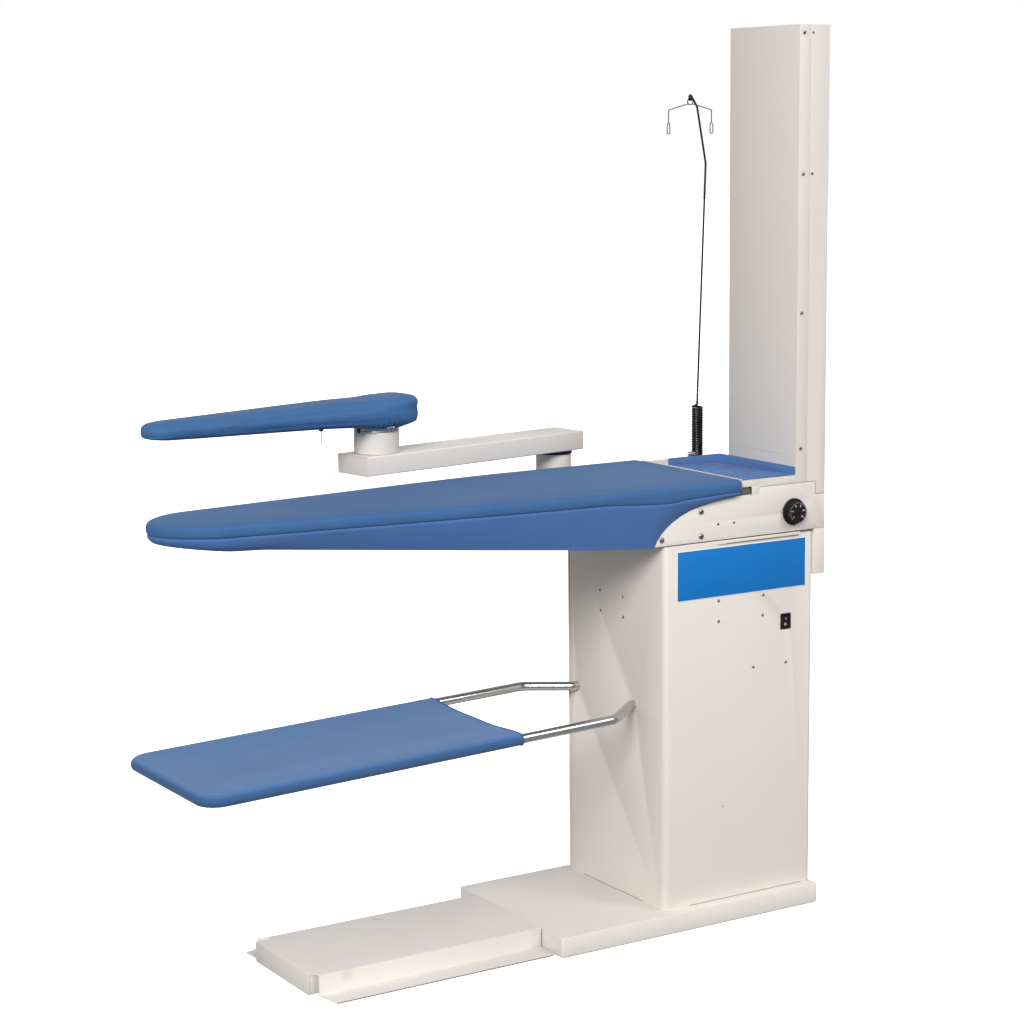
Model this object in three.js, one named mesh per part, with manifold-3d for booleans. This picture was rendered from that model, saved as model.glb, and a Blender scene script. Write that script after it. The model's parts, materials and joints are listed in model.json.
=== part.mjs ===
// Vacuum ironing table: a heated vacuum board on a blower cabinet, with an exhaust chimney,
// a swing arm that carries a sleeve board, a garment catcher, a foot pedal and a hose support rod.
// Millimetres, +Z up. The origin is the middle of the base's underside, the nose points to -X
// and the operator stands on the -Y side.

import * as THREE from 'three';
import { mergeVertices } from 'three/addons/utils/BufferGeometryUtils.js';
import Module from 'manifold-3d';

const wasm = await Module();
wasm.setup();

// Shared clearances, and how far a cutting tool runs past what it cuts
const seat = 0.3;
const running = 0.5;
const overrun = 4;

// How finely round forms are divided
const hexSides = 6;
const tinyRound = 8;
const smallRound = 12;
const mediumRound = 16;
const largeRound = 20;
const neckSides = 24;
const motorSides = 24;
const rimSides = 30;
const wireSides = 5;
const tubeSides = 10;
const cornerSteps = 3;
const bendSteps = 5;
const postSteps = 6;
const bagSteps = 6;
const noseSteps = 7;
const sideSteps = 8;
const panelSteps = 10;
const scrollSteps = 22;
const coilSteps = 8;

// Driving dimensions, each group for one assembly. Angles end in Deg, and Shares are parts of one
const base = {
  length: 649, width: 400, height: 42, sheet: 2, corner: 6, rise: 2, plate: 8,
};
const cabinet = {
  left: -60, width: 382, depth: 356, height: 760, sheet: 1.5, corner: 13, flange: 16,
  lipStart: 72, lipEnd: 280, lipHeight: 7, lipOut: 2.5,
};
const chamber = { sheet: 1.5, height: 93.5 };
const heatPlate = {
  inset: 8, thick: 2.5, holeRadius: 4, pitchX: 104, pitchY: 74, holesFromRear: 70,
};
const felt = { inset: 8, thick: 9 };
const heater = { radius: 4, runs: 4, runPitch: 62, reach: 760, fromRear: 60 };
const board = {
  rear: 132, length: 1229, halfWidth: 195, straight: 332, shoulderFromNose: 112, shoulderHalf: 108,
  corner: 22, overhang: 22, slopeStart: -80,
};
const slopeShare = 0.0856;
const sideCurveShares = { start: 0.17, end: 0.64, drop: 0.6 };
const noseCurveShares = { start: 0.45, width: 0.935, end: 0.42 };
const cover = {
  skirt: 2.4, pad: 5, bandDrop: 3, bandHeight: 20.5, crownRise: 12, edge: 2, rollInset: 9,
  easeInset: 24, flatInset: 58,
};
const crownShares = { roll: 0.45, ease: 0.72 };
const panel = {
  sheet: 1.5, gap: 2.5, toe: -84, bandGap: 2, notchLeft: 178, notchRight: 324.5, notchDrop: 27,
  right: 350, hem: 11, rearToe: -100,
};
const panelCurveShares = { startRun: 0.083, startRise: 0.48, endRun: 0.39, endRise: 0.97 };
const shelf = { left: 133, sheet: 1.5, rise: 8, flange: 17, notchEnd: 178, chimneyGap: 0.4 };
const chimney = {
  left: 272, right: 350.5, rear: 53, height: 932, ductGap: 1, sheet: 1.2, lap: 28, hem: 9,
};
const duct = { drop: 5, portRise: 4, portFront: -112, portWidth: 70, portTopGap: 2, sheet: 1.2 };
const scroll = {
  x: 48, below: 20, height: 70, startRadius: 80, growth: 32, tongueDeg: -60, sweepDeg: 330, sheet: 1.5,
  mouth: 200, eye: 45, shaftHole: 16,
};
const suction = { lip: 6 };
const impeller = {
  radius: 70, disc: 2, blade: 1.6, bladeLength: 44, bladeBow: 9, lift: 7, height: 48, blades: 11,
  hub: 15, hubHeight: 30,
};
const motor = {
  radius: 62, foot: 43, length: 150, taper: 21, shoulder: 12, neck: 24, neckLength: 6, ribs: 12,
  ribDepth: 3,
};
const shaft = { radius: 5, below: 72, headGap: 2 };
const mountShelf = { sheet: 2, depth: 300, flange: 24 };
const rearPanel = {
  sheet: 1.2, margin: 2, slotLength: 96, slotHeight: 7, slotPitch: 22, slots: 6, slotLow: 120,
};
const slotColumnShares = [0.25, 0.75];
const gland = {
  x: 262, z: 96, hex: 13, hexLength: 7, dome: 10, domeLength: 14, domeTip: 6.5, bore: 4.5, thread: 8,
};
const switchUnit = {
  x: 248, z: 616.5, width: 26, height: 33, bezel: 2, bezelOut: 2, body: 24, opening: 3.5, tiltDeg: 7,
  pivotIn: 3, hornOut: 4.5,
};
const rockerBackShare = 0.8;
const controlBox = { x: 238, z: 470, width: 120, height: 110, depth: 62, cornerCut: 8 };
const thermostat = {
  x: 265, rise: 44, body: 42, bodyDepth: 34, neckRadius: 5.5, spindleRadius: 3, spindleOut: 12,
  bulbRadius: 3,
};
const knob = {
  radius: 31, skirt: 5, grip: 25, height: 17, edge: 1.5, flutes: 12, fluteRadius: 3, fluteOut: 2.1,
  standOff: 1.2,
};
const pedal = {
  gap: 3.5, length: 518, top: 45, sheet: 2, half: 125, lip: 54, lipLow: 4, lipSetback: 16, mitre: 8,
  endHalf: 115, lugY: 88, lugThick: 4, lugLength: 52, lugGap: 1, pinIn: 18.5, pinZ: 27, pinRadius: 5,
  lugRadius: 11,
};
const hinge = { strip: 2, ear: 3, earGap: 6, earHeight: 30, earTop: 7.5, width: 30 };
const pedalSpring = { wire: 2.4, turns: 6, pitch: 3.4, leg: 22 };
const pedalSwitch = { length: 28, width: 14, height: 17, button: 3, fromEnd: 54.5 };
const catcher = {
  centreY: 38, entryHalf: 105, half: 177, level: 457, tube: 10, wall: 1.5, splayX: 94, reach: 1008,
  droopDeg: 2.05, bend: 36, cornerBend: 42, stub: 92, entryBend: 18,
};
const catcherCover = { start: 316, side: 3, cloth: 1.4, belly: 3.5, corner: 50 };
const socket = { wall: 2, length: 112, flange: 17, flangeThick: 3 };
const post = {
  x: -40, y: 262, radius: 38, wall: 2, rise: 47, bend: 52, armGap: 8, flangeHalf: 36, flangeThick: 4,
};
const arm = {
  clearance: 27, height: 40, width: 96, wall: 2, reach: 484.4, yawDeg: 9.85, pastPost: 44,
  pastCollar: 62, spigot: 48, edge: 3, cap: 2.5,
};
const bush = { radius: 40.5 };
const collar = { radius: 46, wall: 2, rise: 44 };
const neck = { radius: 43.2, wall: 2, insert: 34, flange: 46, flangeThick: 3 };
const band = {
  radius: 45.6, lift: 5, height: 10, lugLength: 12, lugWidth: 9, lugRoot: 1, slit: 4, boltRadius: 2.5,
};
const sleeve = {
  yawDeg: -5.55, nose: 524, rear: 86, halfRear: 65, halfNose: 42, shoulder: 34, rearCorner: 54,
  lift: 2.6, noseRise: 5.4, seamPivot: 40.4, seamNose: 25.4, wall: 1.5, inset: 6, foot: 8, plate: 2,
  cover: 2.6, padDrop: 4, holes: 7,
};
const sleeveNoseShares = { start: 0.45, width: 0.97, end: 0.6 };
const sleeveRoll = {
  footInset: 12, edge: 1.5, footRise: 7, wallDrop: 9, seamDrop: 2, rollInset: 7, rollRise: 5,
  flatInset: 18, crown: 10,
};
const stopTab = { width: 10, drop: 15, thick: 3, fromPivot: 64, side: -34 };
const tray = {
  left: 134, right: 271, front: -177, rear: 82, floor: 3, rim: 17, wall: 3.5, lip: 4, ribs: 9,
  rib: 1.6, ribWidth: 4, margin: 14,
};
const rod = {
  x: 242, y: 125, wire: 2.2, coilRadius: 9, pitch: 5.5, turns: 20.5, bossHeight: 10, bossRadius: 6,
  neckRise: 6, lean: 20, leanHeight: 636, kneeShift: -3, kneeHeight: 755, hookX: -22, hookHeight: 783,
  hookDrop: 14, bend: 15, hookBend: 5, tipBend: 2.5, hookCurl: 9,
};
const coilEndShare = 0.6;
const rodPlate = {
  length: 48, width: 26, corner: 5.2, thick: 2, offset: -8, boltX: -22, boltRadius: 6, boltHeight: 6,
};
const yoke = {
  wire: 1, ring: 6.5, half: 56, armDrop: 11.5, leg: 25, eyeLength: 24, eyeHalf: 3.6, bend: 3,
  lapDeg: 14.3,
};
const yokeShoulderShare = 0.35;

// Places that follow from the base's left end and the cabinet
const baseLeft = -base.length / 2;
const pedalRight = baseLeft - pedal.gap;
const pedalLeft = pedalRight - pedal.length;
const lipStart = pedalLeft + pedal.lipSetback;
const pinX = baseLeft + pedal.pinIn;
const frontY = -cabinet.depth / 2;
const rearY = cabinet.depth / 2;
const cabinetRight = cabinet.left + cabinet.width;
const noseX = board.rear - board.length;

// Levels, each built up from the one below it
const cabinetTop = base.height + cabinet.height;
const chamberTop = cabinetTop + chamber.height;
const plateTop = chamberTop + heatPlate.thick;
const feltTop = plateTop + felt.thick;
const bandBottom = chamberTop - cover.bandDrop;
const seamLevel = bandBottom + cover.bandHeight;
const crownLevel = seamLevel + cover.crownRise;
const shelfTop = seamLevel + shelf.rise;
const panelBottom = cabinetTop + panel.gap;
const panelCurveTop = bandBottom - panel.bandGap;
const panelTop = shelfTop - shelf.flange;
const ductTop = panelTop - panel.notchDrop - chimney.ductGap;
const chimneyTop = panelTop + chimney.height;
const scrollHigh = cabinetTop - scroll.below;
const scrollLow = scrollHigh - scroll.height;
const portLow = scrollLow + duct.portRise;
const portHigh = scrollHigh - duct.portTopGap;
const impellerLow = scrollLow + impeller.lift;
const shaftLow = scrollLow - shaft.below;
const dialLevel = cabinetTop + thermostat.rise;
const postLevel = cabinetTop + post.rise;
const armLow = crownLevel + arm.clearance;
const armTop = armLow + arm.height;
const postTop = armLow - post.armGap;
const collarTop = armTop + collar.rise;
const bandLow = collarTop + band.lift;
const bandHigh = bandLow + band.height;
const sleeveFloor = bandHigh + sleeve.lift;
const coilFoot = shelfTop + rodPlate.thick + seat + rod.wire;
const coilTop = coilFoot + rod.pitch * rod.turns;
const hookTop = shelfTop + rod.hookHeight;
const hookLow = hookTop - rod.hookDrop;

// Finishes
const finish = (name, color, roughness, metalness = 0) => {
  const material = new THREE.MeshStandardMaterial({ color, roughness, metalness });
  material.name = name;
  return material;
};
const cream = finish('cream_paint', 0xe4ddd2, 0.45);
const greyCream = finish('grey_cream_paint', 0xcfcac2, 0.5);
const zinc = finish('zinc_steel', 0xa9adb0, 0.4, 0.9);
const chrome = finish('chrome_tube', 0xd9dcde, 0.12, 1);
const aluminium = finish('aluminium_sheet', 0xb9bcc0, 0.35, 0.9);
const blackPlastic = finish('black_plastic', 0x17171a, 0.5);
const blackSteel = finish('black_steel', 0x1b1b1d, 0.4, 0.6);
const blueCloth = finish('blue_cloth', 0x4d79ad, 0.9);
const greyFelt = finish('grey_felt', 0x8f9194, 0.95);
const blueSilicone = finish('blue_silicone', 0x3c62c4, 0.55);
const rubber = finish('black_rubber', 0x202020, 0.85);
const darkPaint = finish('motor_paint', 0x3a3f45, 0.5);

// A closed geometry as a solid, its faces turned outward when they come out turned in
function solid(geometry) {
  geometry.deleteAttribute('normal');
  geometry.deleteAttribute('uv');
  const merged = mergeVertices(geometry, 1e-4);
  const triangles = Uint32Array.from(merged.index.array);
  const points = Float32Array.from(merged.attributes.position.array);
  if (signedVolume(points, triangles) < 0) triangles.reverse();
  return new wasm.Manifold(new wasm.Mesh({ numProp: 3, vertProperties: points, triVerts: triangles }));
}

function signedVolume(points, triangles) {
  const at = (index) => new THREE.Vector3().fromArray(points, index * 3);
  let sum = 0;
  for (let i = 0; i < triangles.length; i += 3) {
    sum += at(triangles[i]).dot(at(triangles[i + 1]).cross(at(triangles[i + 2])));
  }
  return sum;
}

// The corner radius of a many-sided hole that clears a round part of the given radius
function around(radius, sides) {
  return (radius + seat) / Math.cos(Math.PI / sides);
}

function join(...solids) {
  return solids.reduce((sum, next) => sum.add(next));
}

function cut(body, ...tools) {
  return tools.reduce((rest, tool) => rest.subtract(tool), body);
}

const table = new THREE.Group();

// Adds a named mesh of a solid to a group
function place(name, body, material, group = table) {
  const { vertProperties, triVerts } = body.getMesh();
  const geometry = new THREE.BufferGeometry();
  geometry.setAttribute('position', new THREE.BufferAttribute(Float32Array.from(vertProperties), 3));
  geometry.setIndex(new THREE.BufferAttribute(Uint32Array.from(triVerts), 1));
  geometry.computeVertexNormals();
  const mesh = new THREE.Mesh(geometry, material);
  mesh.name = name;
  group.add(mesh);
}

// A closed plan or section, from a list of corner points
function outline(points) {
  return new THREE.Shape(points.map(([u, v]) => new THREE.Vector2(u, v)));
}

// A rectangle between two corners, with round corners when a radius is given
function rectangle(u0, v0, u1, v1, radius = 0) {
  if (radius === 0) return outline([[u0, v0], [u1, v0], [u1, v1], [u0, v1]]);
  const shape = new THREE.Shape();
  shape.moveTo(u0 + radius, v0);
  shape.lineTo(u1 - radius, v0);
  shape.absarc(u1 - radius, v0 + radius, radius, -Math.PI / 2, 0);
  shape.absarc(u1 - radius, v1 - radius, radius, 0, Math.PI / 2);
  shape.absarc(u0 + radius, v1 - radius, radius, Math.PI / 2, Math.PI);
  shape.absarc(u0 + radius, v0 + radius, radius, Math.PI, 1.5 * Math.PI);
  return shape;
}

// Which world axes an outline's two directions and its depth follow
const bases = {
  z: [[1, 0, 0], [0, 1, 0], [0, 0, 1]],
  y: [[1, 0, 0], [0, 0, 1], [0, -1, 0]],
  x: [[0, 1, 0], [0, 0, 1], [1, 0, 0]],
};

// A straight extrusion of an outline between two levels of an axis
function prism(shape, low, high, axis = 'z', curveSegments = 4) {
  const geometry = new THREE.ExtrudeGeometry(shape, {
    depth: high - low, bevelEnabled: false, curveSegments, steps: 1,
  });
  const [u, v, w] = bases[axis].map((direction) => new THREE.Vector3(...direction));
  geometry.applyMatrix4(new THREE.Matrix4().makeBasis(u, v, w));
  const start = axis === 'y' ? high : low;
  const along = { x: [start, 0, 0], y: [0, start, 0], z: [0, 0, start] };
  geometry.translate(...along[axis]);
  return solid(geometry);
}

// A block between two corners
function block(x0, y0, z0, x1, y1, z1) {
  return prism(rectangle(x0, y0, x1, y1), z0, z1);
}

// A turned solid about an axis through a point: the profile holds radius and height pairs
function turned(profile, segments, x = 0, y = 0, z = 0, axis = 'z') {
  const geometry = new THREE.LatheGeometry(profile.map(([r, h]) => new THREE.Vector2(r, h)), segments);
  if (axis === 'z') geometry.rotateX(Math.PI / 2);
  if (axis === 'x') geometry.rotateZ(-Math.PI / 2);
  geometry.translate(x, y, z);
  return solid(geometry);
}

// A round bar from one height to another
function bar(radius, low, high, segments, x = 0, y = 0, z = 0, axis = 'z') {
  return turned([[0, low], [radius, low], [radius, high], [0, high]], segments, x, y, z, axis);
}

// A round tube from one height to another
function pipe(outer, inner, low, high, segments, x = 0, y = 0, z = 0, axis = 'z') {
  const profile = [[inner, low], [outer, low], [outer, high], [inner, high], [inner, low]];
  return turned(profile, segments, x, y, z, axis);
}

// A skin through rings of equal count, closed by a flat cap at each end
function loft(rings, closedLoop = false) {
  const count = rings[0].length;
  const positions = rings.flat().flatMap((point) => point.toArray());
  const faces = [];
  const last = closedLoop ? rings.length : rings.length - 1;
  for (let ring = 0; ring < last; ring += 1) {
    const next = (ring + 1) % rings.length;
    for (let side = 0; side < count; side += 1) {
      const beside = (side + 1) % count;
      const a = ring * count + side;
      const b = ring * count + beside;
      const c = next * count + side;
      const d = next * count + beside;
      faces.push(a, b, d, a, d, c);
    }
  }
  if (!closedLoop) {
    capFaces(rings[0]).forEach(([a, b, c]) => faces.push(c, b, a));
    const offset = (rings.length - 1) * count;
    capFaces(rings.at(-1)).forEach(([a, b, c]) => faces.push(offset + a, offset + b, offset + c));
  }
  const geometry = new THREE.BufferGeometry();
  geometry.setAttribute('position', new THREE.Float32BufferAttribute(positions, 3));
  geometry.setIndex(faces);
  return solid(geometry);
}

// The triangles that close a flat ring of points, all turned the way the ring runs
function capFaces(ring) {
  const normal = ringNormal(ring);
  const across = new THREE.Vector3().subVectors(ring[1], ring[0]).normalize();
  const up = new THREE.Vector3().crossVectors(normal, across);
  const flat = ring.map((point) => new THREE.Vector2(point.dot(across), point.dot(up)));
  return THREE.ShapeUtils.triangulateShape(flat, []);
}

function ringNormal(ring) {
  const normal = new THREE.Vector3();
  const centre = ring.reduce((sum, point) => sum.add(point), new THREE.Vector3()).divideScalar(ring.length);
  ring.forEach((point, index) => {
    const a = point.clone().sub(centre);
    const b = ring[(index + 1) % ring.length].clone().sub(centre);
    normal.add(a.cross(b));
  });
  return normal.normalize();
}

// A round wire or tube along a route of points, with mitred joints and no twist
function sweep(route, radius, sides, closedLoop = false) {
  const count = route.length;
  const before = (i) => route[closedLoop ? (i + count - 1) % count : Math.max(i - 1, 0)];
  const after = (i) => route[closedLoop ? (i + 1) % count : Math.min(i + 1, count - 1)];
  let across = null;
  const rings = route.map((point, index) => {
    const coming = new THREE.Vector3().subVectors(point, before(index));
    const going = new THREE.Vector3().subVectors(after(index), point);
    if (coming.lengthSq() === 0) coming.copy(going);
    if (going.lengthSq() === 0) going.copy(coming);
    coming.normalize();
    going.normalize();
    const tangent = coming.clone().add(going).normalize();
    if (across === null) across = perpendicular(coming);
    across = across.clone().addScaledVector(coming, -across.dot(coming)).normalize();
    const ring = mitredRing(point, coming, tangent, across, radius, sides);
    across = across.clone().addScaledVector(going, -across.dot(going)).normalize();
    return ring;
  });
  return loft(rings, closedLoop);
}

function perpendicular(direction) {
  const helper = Math.abs(direction.z) < 0.9 ? new THREE.Vector3(0, 0, 1) : new THREE.Vector3(1, 0, 0);
  return helper.cross(direction).normalize();
}

// The ring where a tube that runs along one direction meets its mitre plane
function mitredRing(point, coming, tangent, across, radius, sides) {
  const up = new THREE.Vector3().crossVectors(coming, across);
  return Array.from({ length: sides }, (_, side) => {
    const angle = (side / sides) * 2 * Math.PI;
    const spoke = across.clone().multiplyScalar(radius * Math.cos(angle));
    spoke.addScaledVector(up, radius * Math.sin(angle));
    const slide = -spoke.dot(tangent) / coming.dot(tangent);
    return point.clone().add(spoke).addScaledVector(coming, slide);
  });
}

// A route through corner points, each inner corner turned with its own bend radius
function bentRoute(corners, bends, steps, closedLoop = false) {
  const count = corners.length;
  const route = [];
  corners.forEach((corner, index) => {
    const isEnd = !closedLoop && (index === 0 || index === count - 1);
    if (isEnd) {
      route.push(corner.clone());
      return;
    }
    const toBack = corners[(index + count - 1) % count].clone().sub(corner).normalize();
    const toNext = corners[(index + 1) % count].clone().sub(corner).normalize();
    const halfTurn = toBack.angleTo(toNext) / 2;
    const tangentLength = bends[index] / Math.tan(halfTurn);
    const start = corner.clone().addScaledVector(toBack, tangentLength);
    const end = corner.clone().addScaledVector(toNext, tangentLength);
    const centreLine = toBack.clone().add(toNext).normalize();
    const centre = corner.clone().addScaledVector(centreLine, bends[index] / Math.sin(halfTurn));
    const from = start.clone().sub(centre);
    const to = end.clone().sub(centre);
    const turn = from.angleTo(to);
    for (let step = 0; step <= steps; step += 1) {
      const share = step / steps;
      const a = Math.sin((1 - share) * turn) / Math.sin(turn);
      const b = Math.sin(share * turn) / Math.sin(turn);
      route.push(centre.clone().addScaledVector(from, a).addScaledVector(to, b));
    }
  });
  return route;
}

const vector = (x, y, z) => new THREE.Vector3(x, y, z);
const radians = THREE.MathUtils.degToRad;

// Base: a folded tray turned upside down over a heavy floor plate
function addBase() {
  const halfWidth = base.width / 2;
  const inner = (gap) => rectangle(
    baseLeft + gap, -halfWidth + gap, -baseLeft - gap, halfWidth - gap, base.corner,
  );
  const outer = prism(inner(0), base.rise, base.height, 'z', cornerSteps);
  const hollow = prism(
    inner(base.sheet), base.rise - overrun, base.height - base.sheet, 'z', cornerSteps,
  );
  const notches = [-1, 1].map((side) => {
    const middle = side * pedal.lugY;
    const half = pedal.lugThick / 2 + pedal.lugGap;
    return block(
      baseLeft - overrun, middle - half, base.rise - overrun,
      baseLeft + base.sheet + overrun, middle + half, base.height - base.sheet - running,
    );
  });
  place('base_tray', cut(outer, hollow, ...notches), cream);
  const plateGap = base.sheet + seat;
  place('floor_plate', prism(inner(plateGap), 0, base.plate, 'z', cornerSteps), zinc);
}

// Pedal: a hat section of folded sheet with foot lips along both sides and two hinge lugs
function addPedal() {
  const { top, sheet, half, lip, lipLow, mitre, endHalf } = pedal;
  const outerEdge = half + lip;
  const section = outline([
    [-outerEdge, lipLow], [-half, lipLow], [-half, top - sheet], [half, top - sheet], [half, lipLow],
    [outerEdge, lipLow], [outerEdge, lipLow + sheet], [half + sheet, lipLow + sheet], [half + sheet, top],
    [-half - sheet, top], [-half - sheet, lipLow + sheet], [-outerEdge, lipLow + sheet],
  ]);
  const hat = prism(section, pedalLeft, pedalRight, 'x');
  const sideLimit = outerEdge + overrun;
  const rightLimit = pedalRight + overrun;
  const plan = outline([
    [lipStart + mitre, -sideLimit], [rightLimit, -sideLimit], [rightLimit, sideLimit],
    [lipStart + mitre, sideLimit], [lipStart + mitre, outerEdge], [lipStart, half + sheet],
    [lipStart, endHalf], [pedalLeft, endHalf], [pedalLeft, -endHalf], [lipStart, -endHalf],
    [lipStart, -half - sheet], [lipStart + mitre, -outerEdge],
  ]);
  const trimmed = hat.intersect(prism(plan, lipLow - overrun, top + overrun));
  const endWall = block(pedalLeft, -endHalf, lipLow, pedalLeft + sheet, endHalf, top);
  const lugs = [-1, 1].map((side) => pedalLug(side * pedal.lugY));
  place('pedal_plate', join(trimmed, endWall, ...lugs), cream);
}

// A lug under the pedal plate that runs into the base and round the hinge pin
function pedalLug(middle) {
  const { pinZ, lugRadius, lugThick, top, sheet, lugLength } = pedal;
  const shape = new THREE.Shape();
  const under = top - sheet;
  const neckLevel = base.height - base.sheet - running * 3;
  shape.moveTo(pedalRight - lugLength, under);
  shape.lineTo(pedalRight - lugLength / 2, pinZ - lugRadius);
  shape.absarc(pinX, pinZ, lugRadius, -Math.PI / 2, Math.PI / 2);
  shape.lineTo(pedalRight - running, neckLevel);
  shape.lineTo(pedalRight - running, under);
  const low = middle - lugThick / 2;
  const high = middle + lugThick / 2;
  const eye = bar(pedal.pinRadius + seat, low - overrun, high + overrun, smallRound, pinX, 0, pinZ, 'y');
  return cut(prism(shape, low, high, 'y', bendSteps), eye);
}

function addPedalHinge() {
  const { pinZ, pinRadius, lugY, lugThick } = pedal;
  const earInner = lugY + lugThick / 2 + hinge.earGap;
  const earOuter = earInner + hinge.ear;
  const left = pinX - hinge.width / 2;
  const right = pinX + hinge.width / 2;
  const strip = block(left, -earOuter, base.plate, right, earOuter, base.plate + hinge.strip);
  const ears = [-1, 1].map((side) => {
    const shape = new THREE.Shape();
    shape.moveTo(left, base.plate);
    shape.lineTo(right, base.plate);
    shape.absarc(pinX, base.plate + hinge.earHeight - hinge.earTop, hinge.earTop, 0, Math.PI);
    const low = side > 0 ? earInner : -earOuter;
    return prism(shape, low, low + hinge.ear, 'y', bendSteps);
  });
  const reach = earOuter + overrun;
  const eye = bar(pinRadius + seat, -reach, reach, smallRound, pinX, 0, pinZ, 'y');
  place('pedal_bracket', cut(join(strip, ...ears), eye), zinc);
  const pinEnd = earOuter + hinge.ear;
  place('pedal_pin', bar(pinRadius, -pinEnd, pinEnd, smallRound, pinX, 0, pinZ, 'y'), zinc);
}

// Pedal return: a torsion coil round the pin, one leg on the bracket and one under a lug
function addPedalSpring() {
  const { wire, turns, pitch, leg } = pedalSpring;
  const { pinZ } = pedal;
  const radius = around(pedal.pinRadius + wire / 2, coilSteps);
  const start = -pitch * turns / 2;
  const route = [vector(pinX + leg, start, pinZ - radius)];
  for (let step = 0; step <= turns * coilSteps; step += 1) {
    const angle = -Math.PI / 2 - (step / coilSteps) * 2 * Math.PI;
    const y = start + (step / coilSteps) * pitch;
    route.push(vector(pinX + radius * Math.cos(angle), y, pinZ + radius * Math.sin(angle)));
  }
  route.push(vector(pinX - leg / 2, start + pitch * turns, pinZ - radius));
  place('pedal_spring', sweep(route, wire / 2, wireSides), zinc);
}

function addPedalSwitch() {
  const { length, width, height, button, fromEnd } = pedalSwitch;
  const left = baseLeft + fromEnd;
  const top = base.plate + height;
  const { lugY } = pedal;
  const body = block(left, lugY - width / 2, base.plate, left + length, lugY + width / 2, top);
  const plunger = bar(button, top - overrun, top + button, tinyRound, left + length / 2, lugY);
  place('pedal_switch', join(body, plunger), blackPlastic);
}

// Cabinet: one folded sheet round the left, front and right, with flanges for the service panel
function addCabinet() {
  const { left, sheet, corner, flange } = cabinet;
  const right = cabinetRight;
  const top = cabinetTop;
  const plan = (inset) => rectangle(
    left + inset, frontY + inset, right - inset, rearY - inset, corner - inset,
  );
  const outer = prism(plan(0), base.height, top, 'z', cornerSteps);
  const hollow = prism(plan(sheet), base.height - overrun, top - sheet, 'z', cornerSteps);
  const mouth = block(
    left + flange, frontY + flange, top - overrun, right - flange, rearY - flange, top + overrun,
  );
  const serviceOpening = block(
    left + flange, rearY - overrun, base.height + flange,
    right - flange, rearY + overrun, top - flange,
  );
  const lip = block(
    cabinet.lipStart, frontY - cabinet.lipOut, top - cabinet.lipHeight,
    cabinet.lipEnd, frontY + sheet / 2, top,
  );
  const body = join(cut(outer, hollow, mouth), lip);
  const holes = [serviceOpening, exhaustPort(right), switchHole(), ...socketHoles()];
  place('cabinet_shell', cut(body, ...holes), cream);
}

// The opening through which the blower's duct meets the duct outside the right wall
function exhaustPort(x) {
  const { portFront, portWidth } = duct;
  return block(x - overrun, portFront, portLow, x + overrun, portFront + portWidth, portHigh);
}

function switchHole() {
  const half = switchUnit.width / 2 - switchUnit.bezel + seat;
  const halfHeight = switchUnit.height / 2 - switchUnit.bezel + seat;
  return block(
    switchUnit.x - half, frontY - overrun, switchUnit.z - halfHeight,
    switchUnit.x + half, frontY + overrun, switchUnit.z + halfHeight,
  );
}

// Rear service panel with two columns of cooling slots
function addRearPanel() {
  const { sheet, margin, slotLength, slotHeight, slotLow, slotPitch } = rearPanel;
  const left = cabinet.left + margin;
  const right = cabinetRight - margin;
  const inside = rearY + seat;
  const outside = inside + sheet;
  const blank = block(
    left, inside, base.height + margin, right, outside, cabinetTop - margin,
  );
  const slots = slotColumnShares.flatMap((share) => {
    const slotLeft = left + (right - left) * share - slotLength / 2;
    return Array.from({ length: rearPanel.slots }, (_, row) => {
      const low = base.height + slotLow + row * slotPitch;
      return block(
        slotLeft, inside - overrun, low, slotLeft + slotLength, outside + overrun, low + slotHeight,
      );
    });
  });
  const glandHole = bar(
    gland.thread + seat, inside - overrun, outside + overrun, smallRound, gland.x, 0, gland.z, 'y',
  );
  place('rear_service_panel', cut(blank, ...slots, glandHole), cream);
}

// The cord inlet: a gland screwed through the service panel
function addGland() {
  const { x, z, hex, hexLength, dome, domeLength, domeTip, bore, thread } = gland;
  const face = rearY + seat + rearPanel.sheet;
  const tip = face + hexLength + domeLength;
  const hexagon = bar(hex, face, face + hexLength, hexSides, x, 0, z, 'y');
  const cap = turned([
    [0, face], [dome, face], [dome, tip - domeLength / 2], [domeTip, tip], [0, tip],
  ], smallRound, x, 0, z, 'y');
  const screw = bar(thread, face - thread, face, smallRound, x, 0, z, 'y');
  const hole = bar(bore, face - thread - overrun, tip + overrun, tinyRound, x, 0, z, 'y');
  place('cord_gland', cut(join(hexagon, cap, screw), hole), blackPlastic);
}

// Blower: a scroll on a mounting shelf, its motor hung below and its impeller inside
function scrollSolid(inset, low, high, mouth) {
  const { startRadius, growth, tongueDeg, sweepDeg, x } = scroll;
  const points = Array.from({ length: scrollSteps + 1 }, (_, step) => {
    const share = step / scrollSteps;
    const angle = radians(tongueDeg + sweepDeg * share);
    const radius = startRadius + growth * share - inset;
    return [x + radius * Math.cos(angle), radius * Math.sin(angle)];
  });
  const outside = inset - startRadius - growth;
  const spiral = prism(outline(points), low, high);
  return join(spiral, block(x, outside, low, mouth, outside + duct.portWidth - 2 * inset, high));
}

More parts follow.
